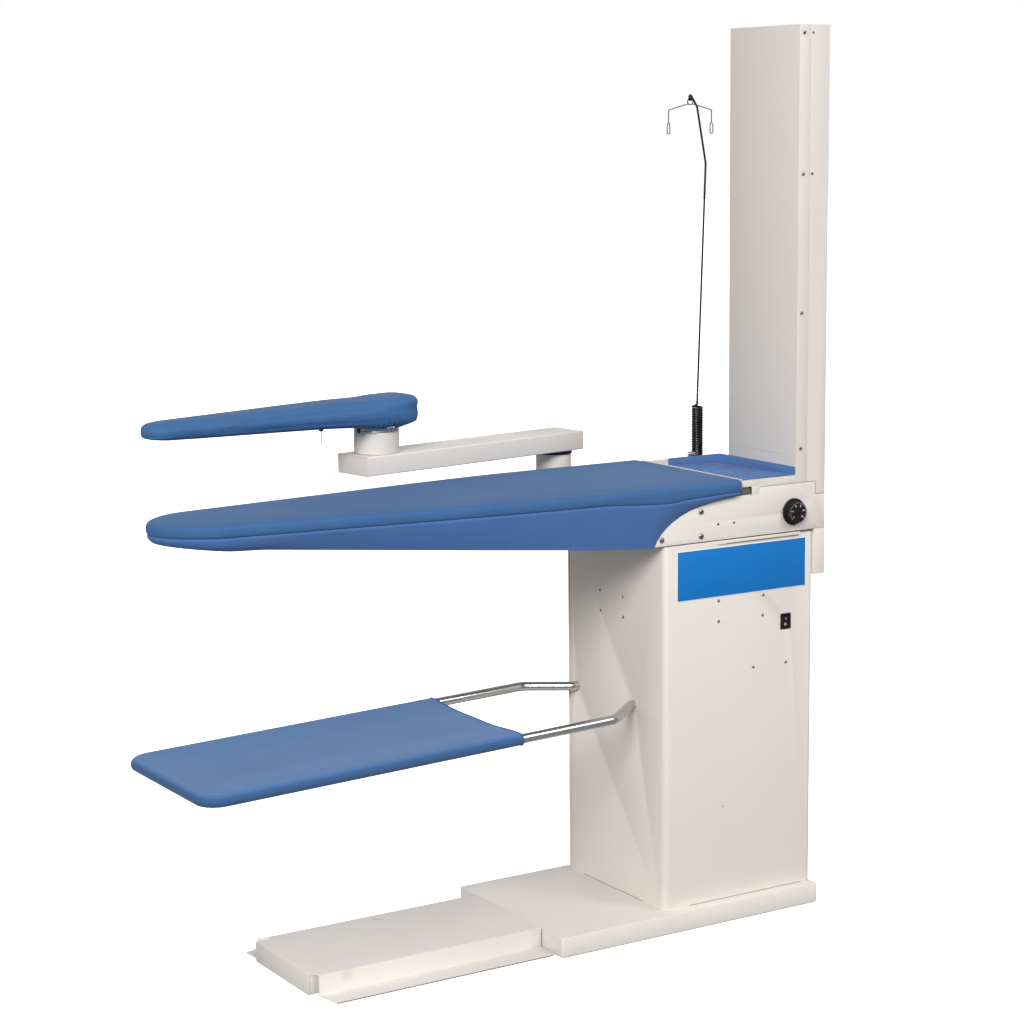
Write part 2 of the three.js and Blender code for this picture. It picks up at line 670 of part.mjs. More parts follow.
function addBlower() {
  const { sheet, eye, x, mouth, shaftHole } = scroll;
  const shell = scrollSolid(0, scrollLow, scrollHigh, mouth);
  const air = scrollSolid(sheet, scrollLow + sheet, scrollHigh - sheet, mouth + overrun);
  const inlet = bar(eye, scrollHigh - overrun, scrollHigh + overrun, largeRound, x);
  const hole = bar(shaftHole, scrollLow - overrun, scrollLow + overrun, smallRound, x);
  place('blower_scroll', cut(shell, air, inlet, hole), darkPaint);
  const rightEnd = cabinetRight - cabinet.sheet - seat;
  addBlowerShelf(rightEnd);
  addExhaustDuct(rightEnd);
  addMotor(scrollLow - mountShelf.sheet);
  addImpeller();
}

// The channel across the cabinet that the blower stands on
function addBlowerShelf(rightEnd) {
  const { sheet, depth, flange } = mountShelf;
  const half = depth / 2;
  const plateLow = scrollLow - sheet;
  const lip = plateLow - flange;
  const leftEnd = cabinet.left + cabinet.sheet + seat;
  const channel = outline([
    [-half, lip], [-half + sheet, lip], [-half + sheet, plateLow], [half - sheet, plateLow],
    [half - sheet, lip], [half, lip], [half, scrollLow], [-half, scrollLow],
  ]);
  const hole = bar(
    around(motor.neck, mediumRound), plateLow - overrun, scrollLow + overrun, mediumRound, scroll.x,
  );
  place('blower_shelf', cut(prism(channel, leftEnd, rightEnd, 'x'), hole), zinc);
}

function addExhaustDuct(rightEnd) {
  const { sheet, mouth, startRadius, growth } = scroll;
  const front = -startRadius - growth;
  const rear = front + duct.portWidth;
  const outer = block(mouth + seat, front, scrollLow, rightEnd, rear, scrollHigh);
  const air = block(
    mouth - overrun, front + sheet, scrollLow + sheet,
    rightEnd + overrun, rear - sheet, scrollHigh - sheet,
  );
  place('exhaust_duct', cut(outer, air), darkPaint);
}

function addMotor(top) {
  const { radius, foot, length, taper, shoulder, ribs, ribDepth } = motor;
  const low = top - length;
  const core = radius - ribDepth;
  const finTop = top - shoulder;
  const neckTop = top + mountShelf.sheet;
  const body = turned([
    [0, low], [foot, low], [core, low + taper], [core, finTop], [radius, finTop], [radius, top],
    [motor.neck, top], [motor.neck, neckTop], [0, neckTop],
  ], motorSides, scroll.x);
  const fins = Array.from({ length: ribs }, (_, index) => {
    const fin = block(core - ribDepth, -ribDepth / 2, low + taper, radius, ribDepth / 2, finTop);
    return fin.rotate([0, 0, (index / ribs) * 360]).translate([scroll.x, 0, 0]);
  });
  const bore = bar(
    shaft.radius + seat, shaftLow - seat, neckTop + motor.neckLength, smallRound, scroll.x,
  );
  place('blower_motor', cut(join(body, ...fins), bore), darkPaint);
}

// One blade of the impeller in plan, bowed from the eye to the rim
function bladePlan() {
  const { radius, blade, bladeLength, bladeBow } = impeller;
  const inner = radius - bladeLength;
  const middle = inner + bladeLength / 2;
  const tip = radius - blade;
  const shape = new THREE.Shape();
  shape.moveTo(inner, 0);
  shape.quadraticCurveTo(middle, bladeBow, tip, -bladeBow / 2);
  shape.lineTo(tip, -bladeBow / 2 - blade);
  shape.quadraticCurveTo(middle, bladeBow - blade, inner, -blade);
  return shape;
}

function addImpeller() {
  const { radius, disc, height, blades, hub, hubHeight } = impeller;
  const { x } = scroll;
  const low = impellerLow;
  const backplate = bar(radius, low, low + disc, rimSides, x);
  const hubSolid = bar(hub, low, low + hubHeight, smallRound, x);
  const vane = prism(bladePlan(), low, low + height);
  const vanes = Array.from(
    { length: blades }, (_, index) => vane.rotate([0, 0, (index / blades) * 360]).translate([x, 0, 0]),
  );
  const bore = bar(shaft.radius + seat, low - overrun, low + hubHeight + overrun, smallRound, x);
  place('blower_impeller', cut(join(backplate, hubSolid, ...vanes), bore), aluminium);
  const shaftTop = low + hubHeight - shaft.headGap;
  place('blower_shaft', bar(shaft.radius, shaftLow, shaftTop, smallRound, x), zinc);
}

// The soft sleeve that joins the vacuum chamber's port to the blower's eye
function addSuctionSleeve() {
  const outer = scroll.eye + suction.lip;
  const low = scrollHigh + seat;
  const high = cabinetTop - seat;
  place('suction_sleeve', pipe(outer, scroll.eye, low, high, largeRound, scroll.x), rubber);
}

// A plan and its mirror image as one closed ring of points
function mirrored(far) {
  const near = far.slice(0, -1).reverse().map((point) => new THREE.Vector2(point.x, -point.y));
  return [...far, ...near];
}

// A quarter turn round a plan's rear corner, set in from the edge
function cornerPoints(rear, half, radius, inset, steps) {
  return Array.from({ length: steps + 1 }, (_, step) => {
    const angle = (step / steps) * (Math.PI / 2);
    return new THREE.Vector2(
      rear - inset - radius + radius * Math.cos(angle),
      half - inset - radius + radius * Math.sin(angle),
    );
  });
}

// Points along a curve from its nth step on, each set in square to the curve
function insetCurve(curve, steps, first, inset) {
  const points = [];
  for (let step = first; step <= steps; step += 1) {
    const tangent = curve.getTangent(step / steps);
    const point = curve.getPoint(step / steps);
    points.push(new THREE.Vector2(point.x - tangent.y * inset, point.y + tangent.x * inset));
  }
  return points;
}

// A plan's blunt nose, from its shoulder round to the middle line
function noseCurve(tip, length, half, shares) {
  return new THREE.CubicBezierCurve(
    new THREE.Vector2(tip + length, half),
    new THREE.Vector2(tip + length - length * shares.start, half * shares.width),
    new THREE.Vector2(tip, half * shares.end),
    new THREE.Vector2(tip, 0),
  );
}

// The board's plan, set in from its edge: from the rear edge round the far side to the nose
function boardHalf(inset) {
  const { rear, halfWidth, shoulderHalf, shoulderFromNose } = board;
  const { start, end, drop } = sideCurveShares;
  const shoulderX = noseX + shoulderFromNose;
  const straightEnd = rear - board.straight;
  const run = straightEnd - shoulderX;
  const taper = halfWidth - shoulderHalf;
  const side = new THREE.CubicBezierCurve(
    new THREE.Vector2(straightEnd, halfWidth),
    new THREE.Vector2(straightEnd - run * start, halfWidth),
    new THREE.Vector2(straightEnd - run * end, halfWidth - taper * drop),
    new THREE.Vector2(shoulderX, shoulderHalf),
  );
  const nose = noseCurve(noseX, shoulderFromNose, shoulderHalf, noseCurveShares);
  const radius = Math.max(board.corner - inset, seat);
  return [
    ...cornerPoints(rear, halfWidth, radius, inset, cornerSteps),
    ...insetCurve(side, sideSteps, 0, inset),
    ...insetCurve(nose, noseSteps, 1, inset),
  ];
}

function boardPlan(inset) {
  return mirrored(boardHalf(inset));
}

// A plate of the board's plan between two levels
function boardSlab(inset, low, high) {
  return prism(new THREE.Shape(boardPlan(inset)), low, high);
}

// The space above the chamber's underside, which slopes up towards the nose
function aboveUnderside(lift) {
  const ceiling = crownLevel + overrun;
  const floor = cabinetTop + lift;
  const rise = (board.slopeStart - noseX) * slopeShare;
  const rear = board.rear + overrun;
  const front = noseX - overrun;
  const side = board.halfWidth + overrun;
  return prism(outline([
    [rear, floor], [rear, ceiling], [front, ceiling], [front, floor + rise],
    [board.slopeStart, floor],
  ]), -side, side, 'y');
}

function addChamber() {
  const { sheet } = chamber;
  const below = cabinetTop - overrun;
  const outer = boardSlab(board.overhang, below, chamberTop).intersect(aboveUnderside(0));
  const hollow = boardSlab(board.overhang + sheet, below, chamberTop + overrun)
    .intersect(aboveUnderside(sheet));
  const port = bar(scroll.eye, below, cabinetTop + overrun, largeRound, scroll.x);
  const postBore = post.radius - post.wall;
  const armPort = bar(
    postBore, board.halfWidth - board.overhang * 2, rearY + overrun, largeRound,
    post.x, 0, postLevel, 'y',
  );
  place('vacuum_chamber', cut(outer, hollow, port, armPort), greyCream);
}

// The perforated plate that the element heats
function addHeatPlate() {
  const { inset, thick, holeRadius, pitchX, pitchY, holesFromRear } = heatPlate;
  const plate = boardSlab(inset, chamberTop, plateTop);
  const holes = [];
  const limit = board.halfWidth - board.overhang * 2;
  const noseWidthShare = board.shoulderHalf / board.halfWidth;
  for (let x = board.rear - holesFromRear; x > noseX + board.shoulderFromNose; x -= pitchX) {
    const taper = (x - noseX) / (board.length - board.straight);
    const reach = limit * Math.min(1, noseWidthShare + taper / 2);
    for (let y = -Math.floor(reach / pitchY) * pitchY; y <= reach; y += pitchY) {
      holes.push(bar(holeRadius, chamberTop - thick, plateTop + thick, hexSides, x, y));
    }
  }
  place('heated_plate', cut(plate, join(...holes)), aluminium);
}

// The sheathed element: one bent rod that runs up and down under the plate
function addHeater() {
  const { radius, runs, runPitch, reach, fromRear } = heater;
  const level = chamberTop - seat - radius;
  const rear = board.rear - board.overhang - fromRear;
  const corners = [];
  for (let run = 0; run < runs; run += 1) {
    const y = (run - (runs - 1) / 2) * runPitch;
    const ends = run % 2 === 0 ? [rear, rear - reach] : [rear - reach, rear];
    ends.forEach((x) => corners.push(vector(x, y, level)));
  }
  const bends = corners.map(() => runPitch / 2 - seat);
  place('heating_element', sweep(bentRoute(corners, bends, bendSteps), radius, hexSides), blackSteel);
}

function addFelt() {
  place('felt_pad', boardSlab(felt.inset, plateTop, feltTop), greyFelt);
}

// The padded cover: a crowned top over the felt, a band round its edge and a skirt below
function addCover() {
  const { pad, crownRise, edge, rollInset, easeInset, flatInset } = cover;
  const ringsOf = (steps) => steps.map(
    ([inset, z]) => boardPlan(inset).map((p) => vector(p.x, p.y, z)),
  );
  const top = loft(ringsOf([
    [edge, bandBottom], [0, bandBottom + pad], [0, seamLevel - pad], [edge, seamLevel],
    [rollInset, seamLevel + crownRise * crownShares.roll],
    [easeInset, seamLevel + crownRise * crownShares.ease], [flatInset, crownLevel],
  ]));
  const below = cabinetTop - overrun;
  const skirt = boardSlab(board.overhang - seat - cover.skirt, below, bandBottom + pad)
    .intersect(aboveUnderside(0));
  const plateSpace = boardSlab(heatPlate.inset - seat, chamberTop - seat, feltTop + seat);
  const chamberSpace = boardSlab(board.overhang - seat, below - overrun, chamberTop);
  const panelHem = block(
    panel.rearToe - seat, 0, below, board.rear + overrun, rearY, chamberTop - seat,
  ).intersect(boardSlab(0, below, bandBottom - seat));
  place('board_cover', cut(join(top, skirt), plateSpace, chamberSpace, panelHem), blueCloth);
}

// Side panels: plates that close the table's head, with a curved front edge over the skirt
function panelShape(toe) {
  const { notchLeft, notchRight, notchDrop, right } = panel;
  const { startRun, startRise, endRun, endRise } = panelCurveShares;
  const shape = new THREE.Shape();
  const run = board.rear - panel.toe;
  const rise = panelCurveTop - panelBottom;
  shape.moveTo(toe, panelBottom);
  shape.bezierCurveTo(
    toe + run * startRun, panelBottom + rise * startRise,
    toe + run * endRun, panelBottom + rise * endRise, toe + run, panelCurveTop,
  );
  shape.lineTo(notchLeft, panelCurveTop);
  shape.lineTo(notchLeft, panelTop);
  shape.lineTo(notchRight, panelTop);
  shape.lineTo(notchRight, panelTop - notchDrop);
  shape.lineTo(right, panelTop - notchDrop);
  shape.lineTo(right, panelBottom);
  return shape;
}

function addFrontPanel() {
  const { sheet, hem, notchLeft, toe } = panel;
  const inside = frontY + sheet;
  const plate = prism(panelShape(toe), frontY, inside, 'y', panelSteps);
  const foldedEdge = block(
    notchLeft, frontY, panelTop - sheet, chimney.left, inside + hem, panelTop,
  );
  const spindleHole = bar(
    thermostat.neckRadius + seat, frontY - overrun, inside + overrun, smallRound,
    thermostat.x, 0, dialLevel, 'y',
  );
  place('front_side_panel', cut(join(plate, foldedEdge), spindleHole), cream);
}

function addRearSidePanel() {
  const inside = rearY - panel.sheet;
  const plate = prism(panelShape(panel.rearToe), inside, rearY, 'y', panelSteps);
  const beyond = block(
    cabinetRight, rearY - overrun, panelBottom - overrun,
    panel.right + overrun, rearY + overrun, panelTop + overrun,
  );
  const half = post.flangeHalf + running;
  const bracket = block(
    post.x - half, inside, panelBottom, post.x + half, rearY, panelCurveTop,
  );
  const armHole = bar(
    post.radius + seat, rearY - overrun, rearY + overrun, largeRound, post.x, 0, postLevel, 'y',
  );
  place('rear_side_panel', cut(join(cut(plate, beyond), bracket), armHole), cream);
}

// The panel that closes the head above the cabinet's right wall
function addHeadEnd() {
  const inset = panel.sheet + seat;
  place('head_end_panel', block(
    cabinetRight - panel.sheet, frontY + inset, panelBottom,
    cabinetRight, rearY - inset, panelTop - seat,
  ), cream);
}

// The shelf behind the board, cut out round the chimney
function addShelf() {
  const { left, sheet, flange, notchEnd, chimneyGap } = shelf;
  const low = shelfTop - flange;
  const chimneyX = chimney.left - chimneyGap;
  const chimneyY = chimney.rear + chimneyGap;
  const plan = (inset) => outline([
    [left + inset, frontY + inset], [chimneyX - inset, frontY + inset],
    [chimneyX - inset, chimneyY + inset], [cabinetRight - inset, chimneyY + inset],
    [cabinetRight - inset, rearY - inset], [left + inset, rearY - inset],
  ]);
  const shell = cut(
    prism(plan(0), low + seat, shelfTop), prism(plan(sheet), low - overrun, shelfTop - sheet),
  );
  const notch = block(
    left + sheet, frontY - overrun, low - overrun, notchEnd, frontY + overrun, shelfTop - sheet,
  );
  place('shelf', cut(shell, notch), cream);
}

// Chimney: a three-sided channel with a floor, closed by a cover that laps its front and rear
function addChimney() {
  const { left, right, rear, sheet, hem } = chimney;
  const wallLeft = left + sheet + seat;
  const wallFront = frontY + sheet + seat;
  const wallRear = rear - sheet - seat;
  const inner = (inset) => rectangle(
    wallLeft + inset, wallFront + inset, right - inset, wallRear - inset,
  );
  const shell = prism(inner(0), ductTop, chimneyTop);
  const air = prism(inner(sheet), ductTop - overrun, chimneyTop + overrun);
  const openSide = block(
    left - overrun, wallFront + hem, panelTop + hem, wallLeft + 2 * sheet, wallRear - hem,
    chimneyTop - hem,
  );
  const stepX = panel.notchRight + seat;
  const step = block(
    left - overrun, frontY - overrun, ductTop - overrun, stepX, rear + overrun, panelTop,
  );
  const floor = block(wallLeft, wallFront, panelTop, stepX + sheet, wallRear, panelTop + sheet);
  const skirt = block(stepX, wallFront, ductTop, stepX + sheet, wallRear, panelTop + sheet);
  place('chimney_channel', join(cut(shell, air, openSide, step), floor, skirt), cream);
}

function addChimneyCover() {
  const { left, rear, sheet, lap } = chimney;
  const inside = left + sheet;
  const lapEnd = left + lap;
  const section = outline([
    [left, frontY], [lapEnd, frontY], [lapEnd, frontY + sheet], [inside, frontY + sheet],
    [inside, rear - sheet], [lapEnd, rear - sheet], [lapEnd, rear], [left, rear],
  ]);
  place('chimney_cover', prism(section, panelTop + seat, chimneyTop), cream);
}

// The flat duct outside the cabinet's right wall that turns the exhaust up into the chimney
function addElbowDuct() {
  const { right, rear } = chimney;
  const { sheet } = duct;
  const left = cabinetRight + seat;
  const low = scrollLow - duct.drop;
  const high = ductTop - seat;
  const front = frontY + seat;
  const back = rear - seat;
  const outer = block(left, front, low, right, back, high);
  const air = block(
    left + sheet, front + sheet, low + sheet, right - sheet, back - sheet, high + overrun,
  );
  const behindPanel = frontY + panel.sheet + seat;
  const panelRelief = block(
    left - overrun, front - overrun, panelBottom - seat, right + overrun, behindPanel,
    high + overrun,
  );
  const frontWall = block(
    left, behindPanel, panelBottom - sheet, right, behindPanel + sheet, high,
  );
  const walls = cut(outer, air, exhaustPort(left), panelRelief);
  place('elbow_duct', join(walls, frontWall), cream);
}

// Rocker switch in the cabinet's front, its rocker on a cross pin
function addSwitch() {
  const { x, z, width, height, bezel, bezelOut, body, opening } = switchUnit;
  const front = frontY - bezelOut;
  const face = (inset, radius) => rectangle(
    x - width / 2 + inset, z - height / 2 + inset, x + width / 2 - inset, z + height / 2 - inset,
    radius,
  );
  const flange = prism(face(0, bezel), front, frontY, 'y', 2);
  const housing = prism(face(bezel, 0), front, frontY + body, 'y');
  const well = prism(face(opening, 0), front - overrun, frontY + body / 2, 'y');
  place('switch_housing', cut(join(flange, housing), well), blackPlastic);
}

// The rocker's section is a shallow V that lies with one end pressed in
function addRocker() {
  const { x, z, width, height, opening, pivotIn, hornOut, tiltDeg } = switchUnit;
  const group = new THREE.Group();
  group.position.set(x, frontY + pivotIn, z);
  group.rotation.x = radians(tiltDeg);
  table.add(group);
  const half = height / 2 - opening - running;
  const reach = half * Math.cos(radians(tiltDeg)) - running;
  const back = reach * rockerBackShare;
  const section = outline([
    [-hornOut, -reach], [-hornOut + pivotIn / 2, 0], [-hornOut, reach], [pivotIn, back],
    [pivotIn, -back],
  ]);
  const halfWidth = width / 2 - opening - running;
  place('switch_rocker', prism(section, -halfWidth, halfWidth, 'x'), blackPlastic, group);
}

function addControlBox() {
  const { x, z, width, height, depth, cornerCut } = controlBox;
  const low = frontY + cabinet.sheet;
  const shape = rectangle(
    x - width / 2, z - height / 2, x + width / 2, z + height / 2, cornerCut,
  );
  place('control_box', prism(shape, low, low + depth, 'y', 2), greyCream);
}

// Thermostat behind the side panel, its spindle through the panel into the knob
function addThermostat() {
  const { x, body, bodyDepth, neckRadius, spindleRadius, spindleOut, bulbRadius } = thermostat;
  const z = dialLevel;
  const inside = frontY + panel.sheet;
  const middle = inside + bodyDepth / 2;
  const top = z + body / 2;
  const housing = block(x - body / 2, inside, z - body / 2, x + body / 2, inside + bodyDepth, top);
  const bushing = bar(neckRadius, frontY, middle, smallRound, x, 0, z, 'y');
  const bore = bar(spindleRadius + seat, frontY - overrun, middle, smallRound, x, 0, z, 'y');
  const bulbTop = shelfTop - shelf.sheet - running;
  const bulb = bar(bulbRadius, top - bulbRadius, bulbTop, tinyRound, x - body / 4, middle);
  place('thermostat', cut(join(housing, bushing, bulb), bore), blackPlastic);
  place('knob_spindle', bar(
    spindleRadius, frontY - spindleOut, middle - running, smallRound, x, 0, z, 'y',
  ), zinc);
}

function addKnob() {
  const { radius, skirt, grip, height, edge, flutes, fluteRadius, fluteOut, standOff } = knob;
  const { x, spindleRadius, spindleOut } = thermostat;
  const z = dialLevel;
  const back = frontY - standOff;
  const front = back - height;
  const body = turned([
    [0, front], [grip - edge, front], [grip, front + edge], [grip + edge, back - skirt],
    [radius, back - skirt + edge], [radius, back], [0, back],
  ], rimSides, x, 0, z, 'y');
  const reach = grip + fluteOut;
  const fluteEnd = back - skirt - edge;
  const scallops = Array.from({ length: flutes }, (_, index) => {
    const angle = (index / flutes) * 2 * Math.PI;
    const fluteX = x + reach * Math.cos(angle);
    const fluteZ = z + reach * Math.sin(angle);
    return bar(fluteRadius, front - overrun, fluteEnd, hexSides, fluteX, 0, fluteZ, 'y');
  });
  const bore = bar(
    spindleRadius + seat, frontY - spindleOut - seat, frontY + overrun, smallRound, x, 0, z, 'y',
  );
  place('thermostat_knob', cut(body, ...scallops, bore), blackPlastic);
}

// Catcher: a chrome tube frame that plugs into two sockets and droops towards its far end
const catcherGroup = new THREE.Group();
catcherGroup.position.set(cabinet.left, catcher.centreY, catcher.level);
catcherGroup.rotation.y = radians(-catcher.droopDeg);
table.add(catcherGroup);

function catcherRoute(stub) {
  const { entryHalf, half, splayX, reach, entryBend, bend, cornerBend } = catcher;
  const entry = -entryBend / 2;
  const far = -reach + catcherCover.side + catcher.tube;
  const side = (sign) => [
    vector(stub, sign * entryHalf, 0), vector(entry, sign * entryHalf, 0),
    vector(-splayX, sign * half, 0), vector(far, sign * half, 0),
  ];
  const corners = [...side(-1), ...side(1).reverse()];
  const bends = [0, entryBend, bend, cornerBend, cornerBend, bend, entryBend, 0];
  return bentRoute(corners, bends, bendSteps);
}

// A rectangle with round corners at its far end only
function bagPlan(far, near, half, radius) {
  const shape = new THREE.Shape();
  shape.moveTo(near, -half);
  shape.lineTo(near, half);
  shape.absarc(far + radius, half - radius, radius, Math.PI / 2, Math.PI);
  shape.absarc(far + radius, -half + radius, radius, Math.PI, 1.5 * Math.PI);
  return shape;
}

function addCatcher() {
  const { stub, tube: radius, wall, reach } = catcher;
  const tube = sweep(catcherRoute(stub), radius, tubeSides);
  const bore = sweep(catcherRoute(stub + overrun), radius - wall, hexSides);
  place('catcher_frame', cut(tube, bore), chrome, catcherGroup);
  const { start, side, cloth, belly, corner } = catcherCover;
  const half = catcher.half + radius + side;
  const high = radius + seat + cloth;
  const low = -high - belly;
  const bag = prism(bagPlan(-reach, -start, half, corner), low, high, 'z', bagSteps);
  const space = prism(
    bagPlan(cloth - reach, overrun - start, half - cloth, corner - cloth),
    low + cloth, high - cloth, 'z', bagSteps,
  );
  place('catcher_cover', cut(bag, space), blueCloth, catcherGroup);
}

// Sockets inside the cabinet's left wall, one for each end of the frame
function addSockets() {
  const { wall, length, flange, flangeThick } = socket;
  const bore = around(catcher.tube, smallRound);
  const tilt = (bore + flange) * Math.sin(radians(catcher.droopDeg));
  const start = cabinet.sheet + running + tilt;
  [[-1, 'front_catcher_socket'], [1, 'rear_catcher_socket']].forEach(([side, name]) => {
    const y = side * catcher.entryHalf;
    const sleeveTube = pipe(bore + wall, bore, start, start + length, smallRound, 0, y, 0, 'x');
    const rim = pipe(bore + flange, bore, start, start + flangeThick, smallRound, 0, y, 0, 'x');
    place(name, join(sleeveTube, rim), zinc, catcherGroup);
  });
}

// The holes that the frame's ends go through
function socketHoles() {
  const { tube, centreY, entryHalf, level } = catcher;
  return [-1, 1].map((side) => bar(
    tube + running, cabinet.left - overrun, cabinet.left + overrun, smallRound,
    0, centreY + side * entryHalf, level, 'x',
  ));
}

// Post: a suction pipe from the chamber's rear that turns up and carries the arm
function addPost() {
  const { x, y, radius, wall, bend, flangeHalf, flangeThick } = post;
  const z = postLevel;
  const face = rearY + seat;
  const route = (more) => bentRoute([
    vector(x, face - more, z), vector(x, y, z), vector(x, y, postTop + more),
  ], [0, bend, 0], postSteps);
  const outer = sweep(route(0), radius, largeRound);
  const inner = sweep(route(overrun), radius - wall, largeRound);
  const flange = block(
    x - flangeHalf, face, z - flangeHalf, x + flangeHalf, face + flangeThick, z + flangeHalf,
  );
  place('post_pipe', cut(join(outer, flange), inner), cream);
  place('post_bush', pipe(
    bush.radius, around(spigotRadius, largeRound), postTop + seat, armLow - seat, largeRound, x, y,
  ), blackPlastic);
}

// The arm's spigot fits the flats of the post's many-sided bore
const spigotRadius = (post.radius - post.wall) * Math.cos(Math.PI / largeRound) - seat;

// Arm: a square duct that turns on the post, with a collar at its far end for the sleeve board
const armGroup = new THREE.Group();
armGroup.position.set(post.x, post.y, 0);
armGroup.rotation.z = radians(arm.yawDeg);
table.add(armGroup);

function addArm() {
  const { height, width, wall, reach, pastPost, pastCollar, spigot, edge, cap } = arm;
  const half = width / 2;
  const middle = armLow + height / 2;
  const left = -reach - pastCollar;
  const length = (inset, from, to) => prism(rectangle(
    -half + inset, armLow + inset, half - inset, armTop - inset, edge,
  ), from, to, 'x', 2);
  const outer = length(0, left, pastPost);
  const air = length(wall, left - overrun, pastPost + overrun);
  const spigotLow = armLow - spigot;
  const pivot = bar(spigotRadius, spigotLow, armLow + wall / 2, largeRound);
  const intake = bar(spigotRadius - wall, spigotLow - overrun, middle, largeRound);
  const outlet = bar(collar.radius - collar.wall, middle, armTop + overrun, largeRound, -reach);
  const ductBody = cut(join(cut(outer, air), pivot), intake, outlet);
  place('swing_arm', ductBody, cream, armGroup);
  place('arm_end_cap', length(wall + seat, left, left + cap), cream, armGroup);
  place('arm_post_cap', length(wall + seat, pastPost - cap, pastPost), cream, armGroup);
  place('arm_collar', pipe(
    collar.radius, collar.radius - collar.wall, armTop + seat, collarTop, neckSides, -reach,
  ), cream, armGroup);
}

// Sleeve board, in a frame of its own on the collar
const sleeveGroup = new THREE.Group();
sleeveGroup.position.set(-arm.reach, 0, 0);
sleeveGroup.rotation.z = radians(sleeve.yawDeg);
armGroup.add(sleeveGroup);

function sleevePlan(inset) {
  const { nose, rear, halfRear, halfNose, shoulder, rearCorner } = sleeve;
  const end = noseCurve(-nose, shoulder, halfNose, sleeveNoseShares);
  const middle = new THREE.Vector2(
    (rear - rearCorner - nose + shoulder) / 2, (halfRear + halfNose) / 2 - inset,
  );
  return mirrored([
    ...cornerPoints(rear, halfRear, rearCorner - inset, inset, bendSteps),
    middle, ...insetCurve(end, postSteps, 0, inset),
  ]);
}

// A level that changes evenly from its value at the pivot to its value at the nose
const slopedLevel = (atPivot, atNose) => (x) => {
  const share = Math.min(-x / sleeve.nose, 1);
  return sleeveFloor + atPivot + (atNose - atPivot) * share;
};
const sleeveLow = slopedLevel(0, sleeve.noseRise);
const sleeveSeam = slopedLevel(sleeve.seamPivot, sleeve.seamNose);

// A loft of the sleeve's plan from steps of inset, level and distance from that level
function sleeveLoft(steps) {
  return loft(steps.map(([inset, level, lift]) => sleevePlan(inset).map(
    (point) => vector(point.x, point.y, level(point.x) + lift),
  )));
}

// The neck ends a seat's gap under the lower side of the sleeve board's sloping floor
function neckTop() {
  return sleeveLow(neck.radius) + sleeve.cover;
}

// A round tool through the sleeve board's floor
function neckTool(radius) {
  return bar(radius, neckTop() - sleeve.seamNose / 2, neckTop() + sleeve.seamNose / 2, largeRound);
}

function addSleeveChamber() {
  const { wall, inset, foot, plate, padDrop } = sleeve;
  const bodyInset = inset + seat;
  const under = sleeve.cover + seat;
  const plateLow = -padDrop - plate;
  const outer = sleeveLoft([
    [bodyInset + foot, sleeveLow, under], [bodyInset, sleeveLow, under + foot],
    [bodyInset, sleeveSeam, plateLow - seat],
  ]);
  const hollow = sleeveLoft([
    [bodyInset + foot + wall, sleeveLow, under + wall],
    [bodyInset + wall, sleeveLow, under + foot + wall],
    [bodyInset + wall, sleeveSeam, plateLow + overrun],
  ]);
  const port = neckTool(neck.radius - neck.wall);
  place('sleeve_chamber', cut(outer, hollow, port), greyCream, sleeveGroup);
  const top = sleeveLoft([[bodyInset, sleeveSeam, plateLow], [bodyInset, sleeveSeam, -padDrop]]);
  const holeLow = sleeveLow(0);
  const holeHigh = sleeveSeam(0) + overrun;
  const holes = Array.from({ length: sleeve.holes }, (_, index) => bar(
    heatPlate.holeRadius, holeLow, holeHigh, hexSides, sleeve.rear / 2 - index * heatPlate.pitchY,
  ));
  place('sleeve_plate', cut(top, ...holes), aluminium, sleeveGroup);
}

function addSleeveCover() {
  const { inset, foot, padDrop } = sleeve;
  const skin = sleeve.cover;
  const { footInset, edge, footRise, wallDrop, seamDrop, rollInset, rollRise } = sleeveRoll;
  const outer = sleeveLoft([
    [footInset, sleeveLow, 0], [edge, sleeveLow, footRise], [0, sleeveSeam, -wallDrop],
    [edge, sleeveSeam, -seamDrop], [rollInset, sleeveSeam, rollRise],
    [sleeveRoll.flatInset, sleeveSeam, sleeveRoll.crown],
  ]);
  const space = sleeveLoft([
    [inset + foot, sleeveLow, skin], [inset, sleeveLow, skin + foot],
    [inset, sleeveSeam, -padDrop + seat],
  ]);
  const mouth = neckTool(band.radius + running);
  place('sleeve_cover', cut(outer, space, mouth), blueCloth, sleeveGroup);
}

// The steel neck that turns in the collar and carries the sleeve board
function addNeck() {
  const { radius, wall, insert, flange, flangeThick } = neck;
  const top = neckTop();
  const low = collarTop - insert;
  const flangeLow = collarTop + seat;
  const outer = join(
    bar(radius, low, top, neckSides), bar(flange, flangeLow, flangeLow + flangeThick, neckSides),
  );
  const air = bar(radius - wall, low - overrun, top + overrun, neckSides);
  place('sleeve_neck', cut(outer, air), zinc, sleeveGroup);
}

// A split band clamped round the neck by a bolt through its two ears
function addNeckBand() {
  const { radius, lugLength, lugWidth, lugRoot, slit, boltRadius } = band;
  const ring = pipe(radius, neck.radius + seat, bandLow, bandHigh, neckSides);
  const half = lugWidth / 2 + slit;
  const lugEnd = -radius - lugLength;
  const lug = block(-half, lugEnd, bandLow, half, lugRoot - radius, bandHigh);
  const gap = block(
    -slit / 2, lugEnd - overrun, bandLow - overrun,
    slit / 2, overrun - neck.radius, bandHigh + overrun,
  );
  const boltEnd = lugWidth + slit;
  const bolt = bar(
    boltRadius, -boltEnd, boltEnd, tinyRound, 0, lugEnd + lugLength / 2,
    (bandLow + bandHigh) / 2, 'x',
  );
  place('neck_band', join(cut(join(ring, lug), gap), bolt), zinc, sleeveGroup);
}

